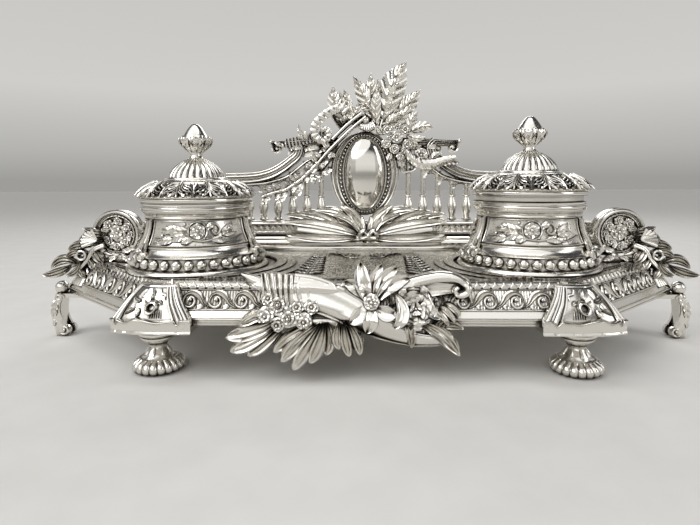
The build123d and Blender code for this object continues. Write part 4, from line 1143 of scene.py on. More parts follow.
def on_plane(y, hand=1):
    """Places on an upright plane that faces forward: across, up, out. A hand of -1 mirrors it."""
    def place(u, v, h):
        return Vector((hand * u, y - h, v))

    return place


def moulding(bm, place, path, half, steps, thick, rows=60, columns=28):
    """A moulded rail along a path. steps are (side, height) points of its section."""
    section = profile_radius([(height, side) for side, height in steps])
    strip(bm, place, path, lambda t: half(t) if callable(half) else half, lambda t, s: section(s),
          rows=rows, columns=columns, thick=thick)


RAIL_SECTION = [(-1.0, 0.0), (-0.97, 0.5), (-0.80, 1.1), (-0.72, 0.5), (-0.50, 0.45), (-0.42, 1.1), (-0.28, 1.2),
                (-0.2, 0.5), (-0.02, 0.5), (0.05, 1.2), (0.2, 1.3), (0.27, 0.6), (0.42, 0.6), (0.5, 1.5),
                (0.7, 1.9), (0.77, 0.9), (0.88, 1.0), (0.95, 1.4), (1.0, 0.2)]


def top_rail(bm, hand):
    """The moulded rail that sweeps up from the end, and the horn of the pediment over it."""
    place = on_plane(GALLERY_FRONT + 0.4, hand)
    run = through((77.2, 76.2), (70, 76.3), (63.5, 76.6), (57.5, 77.4), (51.5, 79.2), (46.2, 82.0), (41.5, 85.4),
                  (37.4, 89.0), (36.4, 93.2), (39.2, 96.4))
    moulding(bm, place, run, lambda t: 3.4 - 0.5 * t, RAIL_SECTION, 3.6, rows=90)
    horn = through((14.5, 96.2), (24, 96.0), (34, 95.6), (44.5, 95.0), (51.3, 95.0))
    moulding(bm, place, horn, lambda t: 2.4 - 0.6 * t, RAIL_SECTION, 3.6, rows=60, columns=24)
    spiral = curl((48.4, 92.6), 3.0, 0.5, 75, -1.4)
    blade(bm, place, spiral, 0.85, 2.4, rows=36, thick=2.4, taper=0.35, groove=0.25)
    bead(bm, place, (48.4, 92.6), 1.3, 2.6, detail=12)
    bead(bm, place, (52.0, 96.2), 1.3, 2.0, detail=10)
    low = through((16.5, 88.0), (24, 88.2), (31.0, 86.0), (36.2, 82.4), (43.5, 77.0), (54.5, 73.8), (66, 72.9),
                  (77.2, 72.8))
    blade(bm, place, low, 0.6, 1.5, rows=70, thick=3.0, taper=0, start=1)
    panel = through((15, 92.0), (22, 91.8), (29, 91.2), (36, 91.2), (42.5, 91.8))
    strip(bm, on_plane(GALLERY_FRONT + 1.8, hand), panel, lambda t: 3.9 - 1.2 * t, lambda t, s: 0.5 * s * s, rows=24,
          columns=8, thick=2.0)
    for start, tip, wide in (((16.0, 92.6), (26.0, 90.2), 1.6), ((24.0, 92.8), (34.0, 91.0), 1.6),
                             ((32.0, 92.8), (42.0, 91.6), 1.4)):
        leaf(bm, place, start, tip, wide, rise=1.0, lobes=3, bow=0.1, rows=12, columns=6)


def baluster(bm, x, height, centre_y, hand):
    """A turned post: a foot, a vase, a ring and a slim neck that opens into the arch above."""
    profile = [(0.0, 0.0), (2.1, 0.0), (2.1, 0.8), (1.7, 1.1), (1.4, 1.5), (1.55, 2.3), (2.05, 4.4), (2.25, 6.4),
               (2.1, 8.4), (1.75, 10.2), (1.4, 11.8), (1.3, 12.4), (1.75, 12.7), (1.9, 13.1), (1.75, 13.5),
               (1.3, 13.8), (1.25, height - 4.6), (1.8, height - 4.2), (1.8, height - 3.7), (1.4, height - 3.3),
               (1.5, height - 0.8), (1.9, height + 0.6), (0.0, height + 0.6)]
    spun(bm, [(1.2 * r, RAIL_TOP + z) for r, z in profile], (hand * x, centre_y), segments=20, closed=False)


def baluster_row(bm, hand):
    """Seven posts and the small arches that join them under the rail."""
    centre_y = (GALLERY_FRONT + GALLERY_BACK) / 2
    under_rail = profile_radius([(88.0, 24), (86.2, 31), (82.4, 36.6), (77.2, 43.8), (74.0, 54.8), (73.0, 66),
                                 (73.0, 80)])
    place = on_plane(GALLERY_FRONT + 0.9, hand)
    pitch = 8.1
    for index in range(7):
        x = pitch * (3 + index)
        baluster(bm, x, under_rail(x) - RAIL_TOP, centre_y, hand)
        if index < 6:
            spring = min(under_rail(x), under_rail(x + pitch)) - 3.4

            def in_bay(u, v, h, x=x, spring=spring):
                across = min(1.0, abs(u) * 1.5)
                low = spring + 2.3 * sqrt(max(0.0, 1 - across * across)) - 1.4 * max(0, abs(u) - 0.68)
                middle = x + pitch / 2 + u * pitch / 2
                return place(middle, low + (under_rail(middle) + 0.6 - low) * (v + 1) / 2, h)

            strip(bm, in_bay, line((-1, 0), (1, 0)), lambda t: 1.0, lambda t, s: 0.3 + 0.6 * max(0, abs(s) - 0.7) * 3,
                  rows=24, columns=6, thick=2.2)
            bead(bm, place, (x + pitch / 2, spring + 3.2), 0.7, 1.2, detail=8)


for hand, side in ((1, "right"), (-1, "left")):
    rail_cast = bmesh.new()
    top_rail(rail_cast, hand)
    finish_piece(rail_cast, side + "_rail_cast", "stand", cast_silver, "silver_cast", side + "_top_rail")
    posts = bmesh.new()
    baluster_row(posts, hand)
    finish_piece(posts, side + "_posts", "stand", cast_silver, "silver_cast", side + "_balusters")

# %% The rail and plinth mouldings
PLINTH_FRONT, PLINTH_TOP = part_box("gallery_plinth")[0].y / MM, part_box("gallery_plinth")[1].z / MM


def plinth_section():
    """The stepped base and rail, (back to front depth, height), as one run moulding."""
    step = (GALLERY_FRONT - 1 - PLINTH_FRONT) / 3
    y0, y1, y2, y3 = PLINTH_FRONT, PLINTH_FRONT + step, PLINTH_FRONT + 2 * step, GALLERY_FRONT
    return [(y0, FIELD_Z), (y0, FIELD_Z + 1.6), (y0 + 0.3, FIELD_Z + 2.2), (y0 + 1.1, FIELD_Z + 2.5),
            (y1 - 0.5, FIELD_Z + 2.5), (y1, FIELD_Z + 2.9), (y1 + 0.1, FIELD_Z + 4.2), (y1 + 0.5, FIELD_Z + 4.8),
            (y1 + 1.2, FIELD_Z + 5.0), (y2 - 0.3, FIELD_Z + 5.0), (y2 + 0.1, FIELD_Z + 5.4),
            (y2 + 0.3, FIELD_Z + 6.6), (y2 + 0.9, FIELD_Z + 7.2), (y3 - 0.4, PLINTH_TOP + 0.1)]


RAIL_FACE = [(0.4, 0.3), (0.0, 0.9), (-0.5, 1.2), (-0.5, 2.0), (0.0, 2.4), (0.3, 2.8), (0.35, 5.4), (0.0, 5.8),
             (-0.4, 6.2), (-0.6, 6.9), (-0.2, 7.5), (0.2, 7.8), (0.1, 8.3), (0.4, 9.0)]


def run_moulding(bm, section, half):
    """Pulls a section along the gallery and closes its ends and back."""
    part = bmesh.new()
    corners = [part.verts.new((-half, y, z)) for y, z in section]
    face = part.faces.new(corners)
    made = bmesh.ops.extrude_face_region(part, geom=[face])
    moved = [v for v in made["geom"] if isinstance(v, bmesh.types.BMVert)]
    bmesh.ops.translate(part, vec=(2 * half, 0, 0), verts=moved)
    cast_onto(bm, part)


base = bmesh.new()
run_moulding(base, plinth_section() + [(GALLERY_BACK, PLINTH_TOP), (GALLERY_BACK, FIELD_Z)], GALLERY_HALF)
finish_piece(base, "plinth_cast", "stand", bright_silver, "silver_cast", "gallery_plinth", crease=24)
low_rail = bmesh.new()
face_line = [(GALLERY_FRONT + dy, PLINTH_TOP + dz) for dy, dz in RAIL_FACE]
back_line = [(GALLERY_BACK, PLINTH_TOP + 9.0), (GALLERY_BACK, PLINTH_TOP + 0.1)]
run_moulding(low_rail, face_line + back_line, GALLERY_HALF)
for hand in (-1, 1):
    place = on_plane(GALLERY_FRONT + 0.3, hand)
    for index in range(14):
        leaf(low_rail, place, (30 + index * 3.4, 47.0), (31.6 + index * 3.4, 49.3), 0.85, rise=0.55, lobes=2, rows=8,
             columns=4, bow=0.2, thick=0.5)
finish_piece(low_rail, "low_rail_cast", "stand", cast_silver, "silver_cast", "gallery_bottom_rail", crease=24)

# %% [markdown]
# ### The oval frame
# The frame is a bundle of oval mouldings round a smooth polished boss, with a ring of beads
# between. An ellipse is a circle drawn wider one way, so the frame is spun as a circle and then
# stretched, which keeps its mouldings even.

# %% The oval frame and its boss
OVAL_WIDE, OVAL_TALL = 19.0, 23.2
FRAME_SECTION = [(19.0, 0.0), (19.0, 3.0), (18.6, 3.9), (17.9, 4.3), (17.2, 4.0), (16.9, 3.5), (16.3, 3.5), (16.1, 4.2),
                 (15.5, 4.6), (14.9, 4.3), (14.7, 3.2), (14.1, 2.9), (12.9, 2.9), (12.6, 3.6), (12.0, 4.2),
                 (11.5, 4.1), (11.3, 3.0), (11.2, 1.0), (11.2, 0.0)]


def oval(bm, section, place_y):
    """A ring spun about its own axis, then made oval and stood up."""
    part = bmesh.new()
    spun(part, section, (0, 0), segments=120)
    for corner in part.verts:
        x, y, z = corner.co
        reach = hypot(x, y)
        share = (reach - 11.2) / (OVAL_WIDE - 11.2)
        stretch = (20.4 + share * (OVAL_TALL - 20.4)) / max(reach, 0.01)
        corner.co = Vector((x, place_y - z, OVAL_Z + y * stretch))
    cast_onto(bm, part)


frame_cast = bmesh.new()
oval(frame_cast, FRAME_SECTION, GALLERY_BACK)
place = on_plane(GALLERY_BACK - 2.6)
for index in range(56):
    angle = 2 * pi * index / 56
    bead(frame_cast, place, (13.5 * cos(angle), OVAL_Z + 21.2 * sin(angle)), 0.95, 1.6, detail=8)
back_plate = [(cos(2 * pi * k / 60) * 11.6, OVAL_Z + sin(2 * pi * k / 60) * 20.8) for k in range(60)]
plate = bmesh.new()
face = plate.faces.new([plate.verts.new((x, GALLERY_BACK, z)) for x, z in back_plate])
made = bmesh.ops.extrude_face_region(plate, geom=[face])
bmesh.ops.translate(plate, vec=(0, -1.2, 0), verts=[v for v in made["geom"] if isinstance(v, bmesh.types.BMVert)])
cast_onto(frame_cast, plate)
for hand in (-1, 1):
    side_place = on_plane(GALLERY_FRONT + 0.2, hand)
    ear = through((17.6, 91.6), (19.6, 91.8), (23.6, 87.6), (27.6, 82.4), (26.0, 80.2), (21.6, 79.6), (19.4, 82.8))
    blade(frame_cast, side_place, ear, 0.8, 1.6, rows=60, thick=2.0, taper=0, start=1, groove=0.3)
    hollow = through((18.4, 89.6), (21.4, 86.2), (24.4, 82.4))
    strip(frame_cast, on_plane(GALLERY_FRONT + 1.2, hand), hollow, lambda t: 2.6, lambda t, s: 0.9 * s * s, rows=16,
          columns=8, thick=1.4)
finish_piece(frame_cast, "frame_cast", "stand", cast_silver, "silver_cast", "oval_frame")

boss = bmesh.new()
bmesh.ops.create_uvsphere(boss, u_segments=72, v_segments=48, radius=1)
for corner in boss.verts:
    x, y, z = corner.co
    corner.co = Vector((x * 11.2, GALLERY_FRONT + 0.4 - (5.6 if y < 0 else 2.8) * abs(y) ** 0.85 * (-1 if y > 0 else 1),
                        OVAL_Z + z * 20.4))
finish_piece(boss, "polished_boss", "stand", bright_silver, "silver_polished", "oval_mirror")

# %% [markdown]
# ### The foliage on the gallery
# The leaves, ribbon, flowers and garland were cast apart and fixed on, and they lean out from the
# plane by different amounts. Each has its own start and tip, so no two are alike.

# %% The crest of leaves
front = on_plane(GALLERY_FRONT)
near = on_plane(GALLERY_FRONT - 1.4)
crest = bmesh.new()
for layer, start, tip, wide, rise, bow, lift in (
        (near, (10.4, 108.0), (22.8, 138.6), 7.0, 1.6, 0.06, 3.4),
        (front, (11.8, 110.0), (30.2, 124.0), 4.7, 1.2, -0.10, 3.0),
        (near, (9.0, 105.0), (25.4, 117.2), 3.4, 1.0, -0.16, 1.6),
        (near, (6.4, 105.0), (7.0, 125.2), 2.8, 1.4, 0.03, 2.2),
        (front, (5.2, 108.0), (3.9, 133.0), 4.2, 1.2, 0.05, 2.6),
        (front, (5.6, 113.0), (7.2, 130.4), 1.8, 1.0, -0.06, 1.8),
        (near, (4.4, 108.0), (-6.3, 131.0), 4.1, 1.2, -0.05, 3.0),
        (front, (3.2, 108.0), (-13.4, 124.0), 3.6, 1.1, 0.22, 2.2),
        (near, (-10.4, 107.0), (-16.6, 126.2), 3.9, 1.1, 0.12, 2.4),
        (front, (-10.6, 109.0), (-11.4, 124.6), 2.6, 0.9, -0.1, 1.4),
        (near, (-9.6, 106.6), (-3.6, 117.4), 2.6, 0.9, -0.16, 2.0),
        (near, (5.0, 109.4), (-3.6, 116.6), 2.6, 0.9, -0.14, 1.4),
        (near, (11.6, 102.6), (20.2, 110.8), 2.6, 0.9, 0.12, 2.0),
        (front, (12.6, 104.0), (21.2, 116.0), 2.4, 0.8, -0.16, 1.0),
        (front, (3.0, 103.0), (-2.6, 109.8), 2.6, 1.0, 0.1, 1.0),
        (front, (9.0, 103.5), (13.0, 110.6), 2.4, 1.0, -0.1, 1.0)):
    veined_leaf(crest, layer, start, tip, wide, rise, bow, lift)
stems = ((2, 101.5), (5.0, 108), (6.5, 112)), ((8, 101), (9.4, 106), (10.8, 112)), ((-2, 104), (-7, 107), (-11, 110))
for points in stems:
    blade(crest, front, through(*points), 1.2, 1.8, rows=16, thick=1.6, taper=0.2, start=0.6)
back = on_plane(GALLERY_FRONT + 1.6)
strip(crest, back, line((5.0, 99.6), (4.6, 108.5)), lambda t: 9.6 - 5.6 * t, lambda t, s: 0.8 * (1 - s * s), rows=12,
      columns=10, thick=1.4)
finish_piece(crest, "crest_of_leaves", "stand", burnished_silver, "silver_cast", "gallery_leaves")

# %% The ribbon, the staff and the leafy branch
trail = bmesh.new()
ribbon_path = through((-9.8, 112.0), (-12.6, 114.4), (-18.0, 112.6), (-23.3, 109.0), (-27.0, 104.4), (-27.0, 99.6),
                      (-23.2, 96.6), (-19.4, 98.8), (-20.6, 102.6), (-24.2, 102.8))


def ribbed(t, s):
    return 0.7 + 0.5 * sqrt(max(0, 1 - s * s)) + 0.55 * abs(sin(17 * pi * t)) ** 0.7 + 1.4 * sin(pi * min(1, 1.3 * t))


strip(trail, near, ribbon_path, lambda t: 2.5 - 0.9 * t, ribbed, rows=150, columns=6, thick=1.2)
strip(trail, front, through((-17.0, 112.0), (-15.6, 108.6), (-12.0, 104.6), (-9.6, 106.8), (-8.4, 108.6)),
      lambda t: 2.1 - 1.1 * abs(t - 0.4), lambda t, s: 1.6 + 0.6 * cos(3 * pi * s), rows=28, columns=10, thick=1.0)
for start, end, wide in (((0.8, 109.4), (-25.6, 84.4), 1.25), ((-1.6, 111.2), (-17.6, 97.4), 1.2)):
    blade(trail, near, line(start, end, -0.03), wide, 2.6, rows=24, columns=8, thick=2.2, taper=0.1, start=1)
for index in range(7):
    u = -2.6 + index * 1.25
    leaf(trail, near, (u * 0.6 + 0.6, 107.4), (u + 0.6, 101.2 + abs(index - 3) * 0.5), 0.95, rise=1.4, lobes=0, lift=2.2,
         rows=12, columns=6, thick=1.2)
bead(trail, near, (0.6, 107.6), 2.2, 2.4, detail=12)
vine = through((-25.6, 84.4), (-29.8, 80.4), (-33.6, 76.6), (-38.6, 73.0), (-44.6, 69.6), (-50.0, 68.4), (-56.2, 66.2))
blade(trail, near, vine, 1.45, 2.4, rows=50, columns=8, thick=2.2, taper=0.25, start=1)
for index in range(9):
    (u, v), _ = vine(0.03 + index * 0.115)
    bead(trail, near, (u, v + 0.3 * (-1) ** index), 1.7 - 0.07 * index, 2.9, detail=9)
    leaf(trail, near, (u, v), (u - 3.6 + 1.4 * (index % 3), v - 4.4 + 8.0 * (index % 2)), 1.5, rise=1.3, bow=0.12, lobes=2,
         lift=1.6, rows=12, columns=6, thick=1.0)
for index in range(5):
    u, v = -19.0 - 2.0 * index, 92.4 - 2.6 * index
    leaf(trail, near, (u, v), (u - 3.4 + 6.0 * (index % 2), v + 3.6 - 6.4 * (index % 2)), 1.5, rise=1.3, bow=0.1, lobes=2,
         lift=1.6, rows=12, columns=6, thick=1.0)
for start, tip, wide, bow in (
        ((-25.4, 84.0), (-28.8, 91.4), 1.8, 0.1), ((-18.4, 92.8), (-21.6, 97.0), 1.6, 0.1),
        ((-24.6, 79.4), (-18.2, 81.6), 2.0, -0.15), ((-28.6, 77.2), (-22.6, 74.6), 2.2, 0.1),
        ((-27.0, 82.6), (-20.2, 86.2), 1.7, -0.12), ((-31.0, 79.0), (-27.4, 72.6), 1.7, 0.1),
        ((-35.0, 75.2), (-40.2, 64.4), 1.7, 0.14), ((-35.4, 75.0), (-41.4, 78.4), 1.6, 0.1),
        ((-43.0, 70.6), (-49.4, 62.8), 1.7, 0.14), ((-46.4, 69.4), (-51.0, 73.4), 1.5, -0.1),
        ((-52.0, 67.8), (-57.4, 62.8), 1.5, 0.14), ((-53.0, 67.4), (-58.6, 69.4), 1.4, -0.1),
        ((-39.6, 72.2), (-36.4, 66.6), 1.4, 0.12), ((-21.6, 89.0), (-15.8, 88.4), 1.5, 0.1)):
    leaf(trail, near, start, tip, wide, rise=1.2, bow=bow, lobes=3, lift=1.3, rows=14, columns=6, thick=1.0)
for index in range(13):
    u, v = -43.2 + index * 1.9, 92.8 + index * 0.38
    blade(trail, front, line((u + 0.5, v), (u - 0.2, v + 5.4), 0.1), 0.95, 1.5, rows=10, thick=1.2, taper=0.35,
          start=0.6)
for start, tip, wide in (((-33.8, 96.0), (-36.4, 105.6), 1.5), ((-32.0, 96.4), (-32.4, 102.4), 1.3),
                         ((-44.0, 93.6), (-49.6, 96.4), 1.4)):
    leaf(trail, near, start, tip, wide, rise=1.1, lobes=3, lift=0.8, rows=12, columns=6, thick=1.0)
finish_piece(trail, "ribbon_and_branch", "stand", cast_silver, "silver_cast", "gallery_ribbon")

# %% The flowers and the garland
blossoms = bmesh.new()
for (u, v), reach, petals, turn in (
        ((12.6, 102.4), 3.2, 6, 0.2), ((17.6, 98.4), 3.4, 5, 0.9), ((22.2, 102.4), 2.9, 6, 0.4), ((11.8, 95.0), 2.6, 5, 0.0),
        ((16.4, 92.0), 2.7, 6, 0.7), ((19.8, 88.0), 2.3, 5, 0.3), ((23.6, 94.4), 2.9, 6, 0.1), ((18.0, 104.4), 2.2, 5, 0.5),
        ((21.8, 90.8), 2.1, 5, 0.8), ((14.4, 98.2), 2.1, 5, 0.1), ((30.9, 88.6), 3.9, 8, 0.1)):
    rosette(blossoms, near, (u, v), reach, petals, 1.5, layers=2, turn=turn, open_up=0.5)
for start, tip, wide, bow in (
        ((24.0, 100.6), (29.2, 112.2), 3.0, 0.12), ((25.8, 101.4), (37.2, 103.4), 3.0, 0.12),
        ((23.0, 99.6), (33.8, 98.4), 1.8, -0.12), ((10.4, 100.2), (7.4, 104.6), 1.6, 0.1),
        ((24.6, 97.0), (29.6, 94.0), 1.6, -0.1), ((14.0, 90.0), (12.2, 85.8), 1.5, 0.1),
        ((19.0, 86.6), (20.4, 81.4), 1.5, 0.1), ((36.2, 84.4), (41.4, 90.0), 1.8, 0.14)):
    veined_leaf(blossoms, near, start, tip, wide, 1.1, bow, 1.6, veins=4)
swag_path = through((22.4, 91.2), (26.0, 86.4), (31.2, 83.6), (37.6, 83.6), (44.0, 85.6), (49.6, 86.8))
strip(blossoms, near, swag_path, lambda t: 1.5 + 1.1 * sin(pi * t), lambda t, s: 1.6 + 1.3 * cos(s * 1.3)
      + 0.4 * abs(sin(9 * pi * t + 2.2 * s)), rows=70, columns=8, thick=1.6)
leaf(blossoms, near, (38.0, 81.6), (51.6, 84.0), 2.3, rise=1.8, lobes=5, lift=1.2, bow=0.14, rows=20, columns=8)
finish_piece(blossoms, "flowers_and_garland", "stand", cast_silver, "silver_cast", "gallery_flowers")

# %% The leaves under the oval
def leaning(u, v, h):
    """Places on a face that leans back from the plinth to the rail, so that it faces up a little."""
    return Vector((u, GALLERY_FRONT - 0.6 - 0.42 * max(0, 58 - v) - h, v - 0.25 * h))


under = bmesh.new()
for hand in (-1, 1):
    strip(under, leaning, line((hand * 2 + 1, 47.4), (hand * 37, 48.8)), lambda t: 4.2 - 2.6 * t,
          lambda t, s: 0.5 - 0.4 * s * s, rows=30, columns=8, thick=0.9)
    for start, tip, wide, bow, rise, lift in (
            ((4.5, 47.6), (27.4, 58.6), 2.9, 0.16, 1.6, 1.6), ((13.0, 49.6), (37.6, 57.0), 2.5, 0.10, 1.5, 1.2),
            ((3.5, 45.8), (46.0, 52.6), 3.0, 0.05, 2.2, 1.4), ((22.0, 48.6), (44.6, 56.0), 2.0, 0.12, 1.4, 1.2),
            ((4.6, 44.0), (42.6, 45.4), 2.2, -0.03, 2.0, 1.2), ((26.0, 49.6), (31.4, 58.4), 1.7, 0.14, 1.4, 1.4)):
        shift = 0 if hand < 0 else 0.8
        flowing(under, leaning, (hand * start[0] + shift, start[1]), (hand * tip[0] + shift, tip[1]), wide,
                rise, bow * hand, lift, ridges=1.5, rows=28, deep=0.16)
    for start, tip, wide, bow in (((2.0, 46.0), (14.2, 61.4), 2.9, 0.12), ((3.0, 46.6), (18.6, 56.6), 2.3, 0.16),
                                  ((1.6, 46.2), (9.0, 58.0), 2.3, -0.06), ((0.6, 47.0), (2.4, 55.8), 1.7, -0.06)):
        flowing(under, leaning, (hand * start[0] + 1, start[1]), (hand * tip[0] + 1, tip[1]), wide, 3.0,
                bow * hand, 2.2, ridges=1.5, deep=0.18)
    place = on_plane(GALLERY_FRONT - 7.0)
    loop = through((2.0, 44.8), (2 + hand * 2.4, 47.4), (2 + hand * 4.4, 46.0), (2 + hand * 3.8, 43.6), (2.0, 44.4))
    strip(under, place, loop, lambda t: 1.1, lambda t, s: 1.8 + 0.6 * cos(3 * s), rows=28, columns=6, thick=1.2)
bead(under, on_plane(GALLERY_FRONT - 6.0), (2.0, 45.0), 2.0, 4.0, detail=12)
finish_piece(under, "leaves_under_oval", "stand", burnished_silver, "silver_cast", "gallery_swag")

# %% [markdown]
# ## The ends of the tray
# A low wall runs from the gallery along each rear edge and rolls up into a drum at the tray's end,
# with flowers in its face and a spray of leaves that falls over the edge. Each slim end leg is
# dressed with a leaf and ends in a scroll.

# %% The drums and their flowers
DRUM_X, DRUM_Z, DRUM_HALF = 118.8, 50.1, 4.0
DRUM = [(0.0, -4.0), (10.4, -4.0), (11.2, -3.7), (11.5, -3.1), (11.2, -2.5), (10.6, -2.2), (10.3, -1.6), (10.3, 1.4),
        (10.6, 2.0), (11.2, 2.3), (11.5, 2.9), (11.4, 3.7), (10.9, 4.3), (10.2, 4.4), (9.8, 4.0), (9.6, 3.2), (9.1, 2.9),
        (8.9, 3.3), (8.5, 3.4), (8.2, 3.0), (8.0, 2.2), (0.0, 2.2)]


def drum_cast(bm, hand):
    part = bmesh.new()
    spun(part, DRUM, (0, 0), segments=96, closed=False)
    for corner in part.verts:
        x, y, z = corner.co
        corner.co = Vector((hand * (DRUM_X + x), -z, DRUM_Z + y))
    cast_onto(bm, part)
    place = on_plane(-DRUM_HALF, hand)
    for index in range(30):
        angle = 2 * pi * index / 30
        bead(bm, on_plane(-2.9, hand), (DRUM_X + 8.55 * cos(angle), DRUM_Z + 8.55 * sin(angle)), 0.5, 0.9, detail=6)
    stand_path = through((112.0, 44.0), (108.6, 41.0), (107.8, 38.4), (109.4, 36.9))
    blade(bm, place, stand_path, 1.5, 0.9, rows=20, columns=6, thick=8.2, taper=0.1, start=1, groove=0.3)
    stand_path = through((124.6, 43.2), (126.6, 40.6), (126.0, 38.0), (123.4, 36.9))
    blade(bm, place, stand_path, 1.4, 0.9, rows=20, columns=6, thick=8.2, taper=0.1, start=1, groove=0.3)
    low = line((109.5, 38.2), (125.5, 38.2))
    strip(bm, place, low, lambda t: 1.7, lambda t, s: 0.3 - 0.3 * s * s, rows=14, columns=6, thick=7.8)
    for start, tip, wide in (((117, 40.5), (110.6, 37.6), 1.6), ((117, 40.5), (124.0, 37.4), 1.6),
                             ((116.6, 41.5), (109.4, 43.6), 1.3)):
        leaf(bm, place, start, tip, wide, rise=1.0, lobes=3, rows=12, columns=6, thick=1.0)


def drum_flowers(bm, hand):
    place = on_plane(-DRUM_HALF + 1.6, hand)
    for du, dz, reach, petals, turn in ((-0.6, 0.4, 3.9, 6, 0.2), (-5.2, 3.2, 2.2, 5, 0.6), (3.9, 4.2, 2.4, 6, 0.1),
                                        (-4.4, -3.8, 2.3, 5, 0.9), (4.2, -3.4, 2.3, 6, 0.4), (-0.6, 6.0, 1.9, 5, 0.3),
                                        (0.2, -6.2, 1.9, 5, 0.7), (6.4, 0.4, 1.7, 5, 0.2), (-6.8, -0.4, 1.7, 5, 0.5)):
        rosette(bm, place, (DRUM_X + du, DRUM_Z + dz), reach, petals, 1.3, turn=turn, open_up=0.5)
    for angle in range(20, 380, 45):
        a = radians(angle)
        leaf(bm, place, (DRUM_X + 3.4 * cos(a), DRUM_Z + 3.4 * sin(a)), (DRUM_X + 7.7 * cos(a), DRUM_Z + 7.7 * sin(a)),
             1.3, rise=0.7, lobes=2, lift=0.6, rows=10, columns=6, thick=0.7)


for hand, side in ((1, "right"), (-1, "left")):
    drum = bmesh.new()
    drum_cast(drum, hand)
    finish_piece(drum, side + "_drum_cast", "stand", cast_silver, "silver_cast", side + "_scroll_drum")
    flowers = bmesh.new()
    drum_flowers(flowers, hand)
    finish_piece(flowers, side + "_drum_flowers", "stand", cast_silver, "silver_cast", side + "_drum_rosette")

# %% The sprays that fall over the ends
def spray(bm, hand):
    near, far = on_plane(-5.2, hand), on_plane(-3.6, hand)
    for start, tip, wide, bow in (((124.0, 51.0), (133.4, 53.2), 2.1, -0.1), ((124.0, 49.0), (135.6, 47.2), 2.8, 0.1),
                                  ((125.0, 46.4), (137.2, 43.8), 2.6, 0.12), ((130.0, 44.4), (141.0, 42.8), 2.2, 0.14)):
        flowing(bm, near, start, tip, wide, 1.2, bow, 0.8)
    shell = bmesh.new()
    for index in range(7):
        angle = radians(-18 + index * 15)
        blade(shell, near, line((126.6, 47.4), (126.6 + 7.6 * cos(angle), 46.4 + 6.2 * sin(angle))), 1.0, 1.6, rows=10,
              thick=1.4, taper=-0.3, start=0.5)
    cast_onto(bm, shell)
    low_path = through((123.6, 45.0), (128.6, 42.8), (132.4, 37.4), (137.2, 32.6), (142.0, 29.8))
    blade(bm, near, low_path, 1.4, 1.5, rows=40, columns=6, thick=1.4, taper=0.7, start=0.6, groove=0.25)
    high_path = through((124.0, 46.0), (130.6, 41.6), (137.0, 36.8), (143.0, 34.0), (148.4, 32.4), (153.8, 30.8))
    blade(bm, far, high_path, 1.5, 1.9, rows=44, columns=6, thick=1.5, taper=0.65, start=0.6, groove=0.25)
    blade(bm, near, curl((134.7, 40.2), 2.1, 2.1, 0, 1), 0.85, 1.5, rows=26, thick=1.4, taper=0, start=1)
    for start, tip, wide, bow in (((133.6, 41.0), (142.0, 38.8), 1.9, 0.2), ((137.6, 36.6), (149.6, 33.8), 2.4, 0.24),
                                  ((140.8, 34.8), (154.2, 30.8), 2.2, -0.08), ((131.0, 38.6), (126.4, 33.6), 2.3, 0.12),
                                  ((128.6, 43.0), (124.0, 36.8), 2.6, 0.12), ((136.0, 34.0), (133.0, 29.6), 1.7, 0.1),
                                  ((135.4, 37.4), (142.6, 30.6), 1.8, -0.2)):
        flowing(bm, near, start, tip, wide, 1.3, bow, 0.9)


for hand, side in ((1, "right"), (-1, "left")):
    leaves = bmesh.new()
    spray(leaves, hand)
    finish_piece(leaves, side + "_leaf_spray", "stand", cast_silver, "silver_cast", side + "_side_spray")

# %% [markdown]
# The walls and the end legs keep their plain pieces, because those are the bodies of the real
# ones, and only their dressing is laid on: mouldings and a running leaf on the wall, a long leaf
# and two scrolls on the leg.

# %% Dressing for the walls and the end legs
WALL_INSET, WALL_THICK, WALL_TOP = 11.5, 3.0, 54.5


def on_wall(side, outer):
    """Places on one face of the wall on a rear edge: across runs from the tray's end."""
    a, b = Vector(CORNERS[2]), Vector(CORNERS[3])
    middle, way = (a + b) / 2, (b - a).normalized()
    inward = Vector((-way.y, way.x))

    def place(u, v, h):
        spot = middle + way * u + inward * ((WALL_INSET - h) if outer else (WALL_INSET + WALL_THICK + h))
        return Vector((side * spot.x, spot.y, v))

    return place


def wall_dressing(bm, hand):
    for outer in (True, False):
        place = on_wall(hand, outer)
        low, high = (-21.0, 38.0) if outer else (-16.0, 35.5)
        for z, wide, rise in ((53.6, 0.9, 0.9), (51.6, 0.35, 0.5), (41.2, 0.4, 0.5), (38.0, 1.3, 1.0)):
            blade(bm, place, line((low, z), (high, z)), wide, rise, rows=2, columns=6, taper=0, start=1)
        for index in range(int((high - low) / 5.4)):
            u = low + 3.4 + index * 5.4
            leaf(bm, place, (u - 2.4, 43.2), (u + 2.8, 49.6), 1.8, rise=0.8, lobes=3, bow=0.18, rows=12, columns=6)
            bead(bm, place, (u - 1.9, 48.6), 0.9, 0.9, detail=8)
    place = on_wall(hand, True)
    for index in range(16):
        bead(bm, on_wall(hand, True), (-18 + index * 3.6, 46.3), 0.55, 0.7, detail=6)


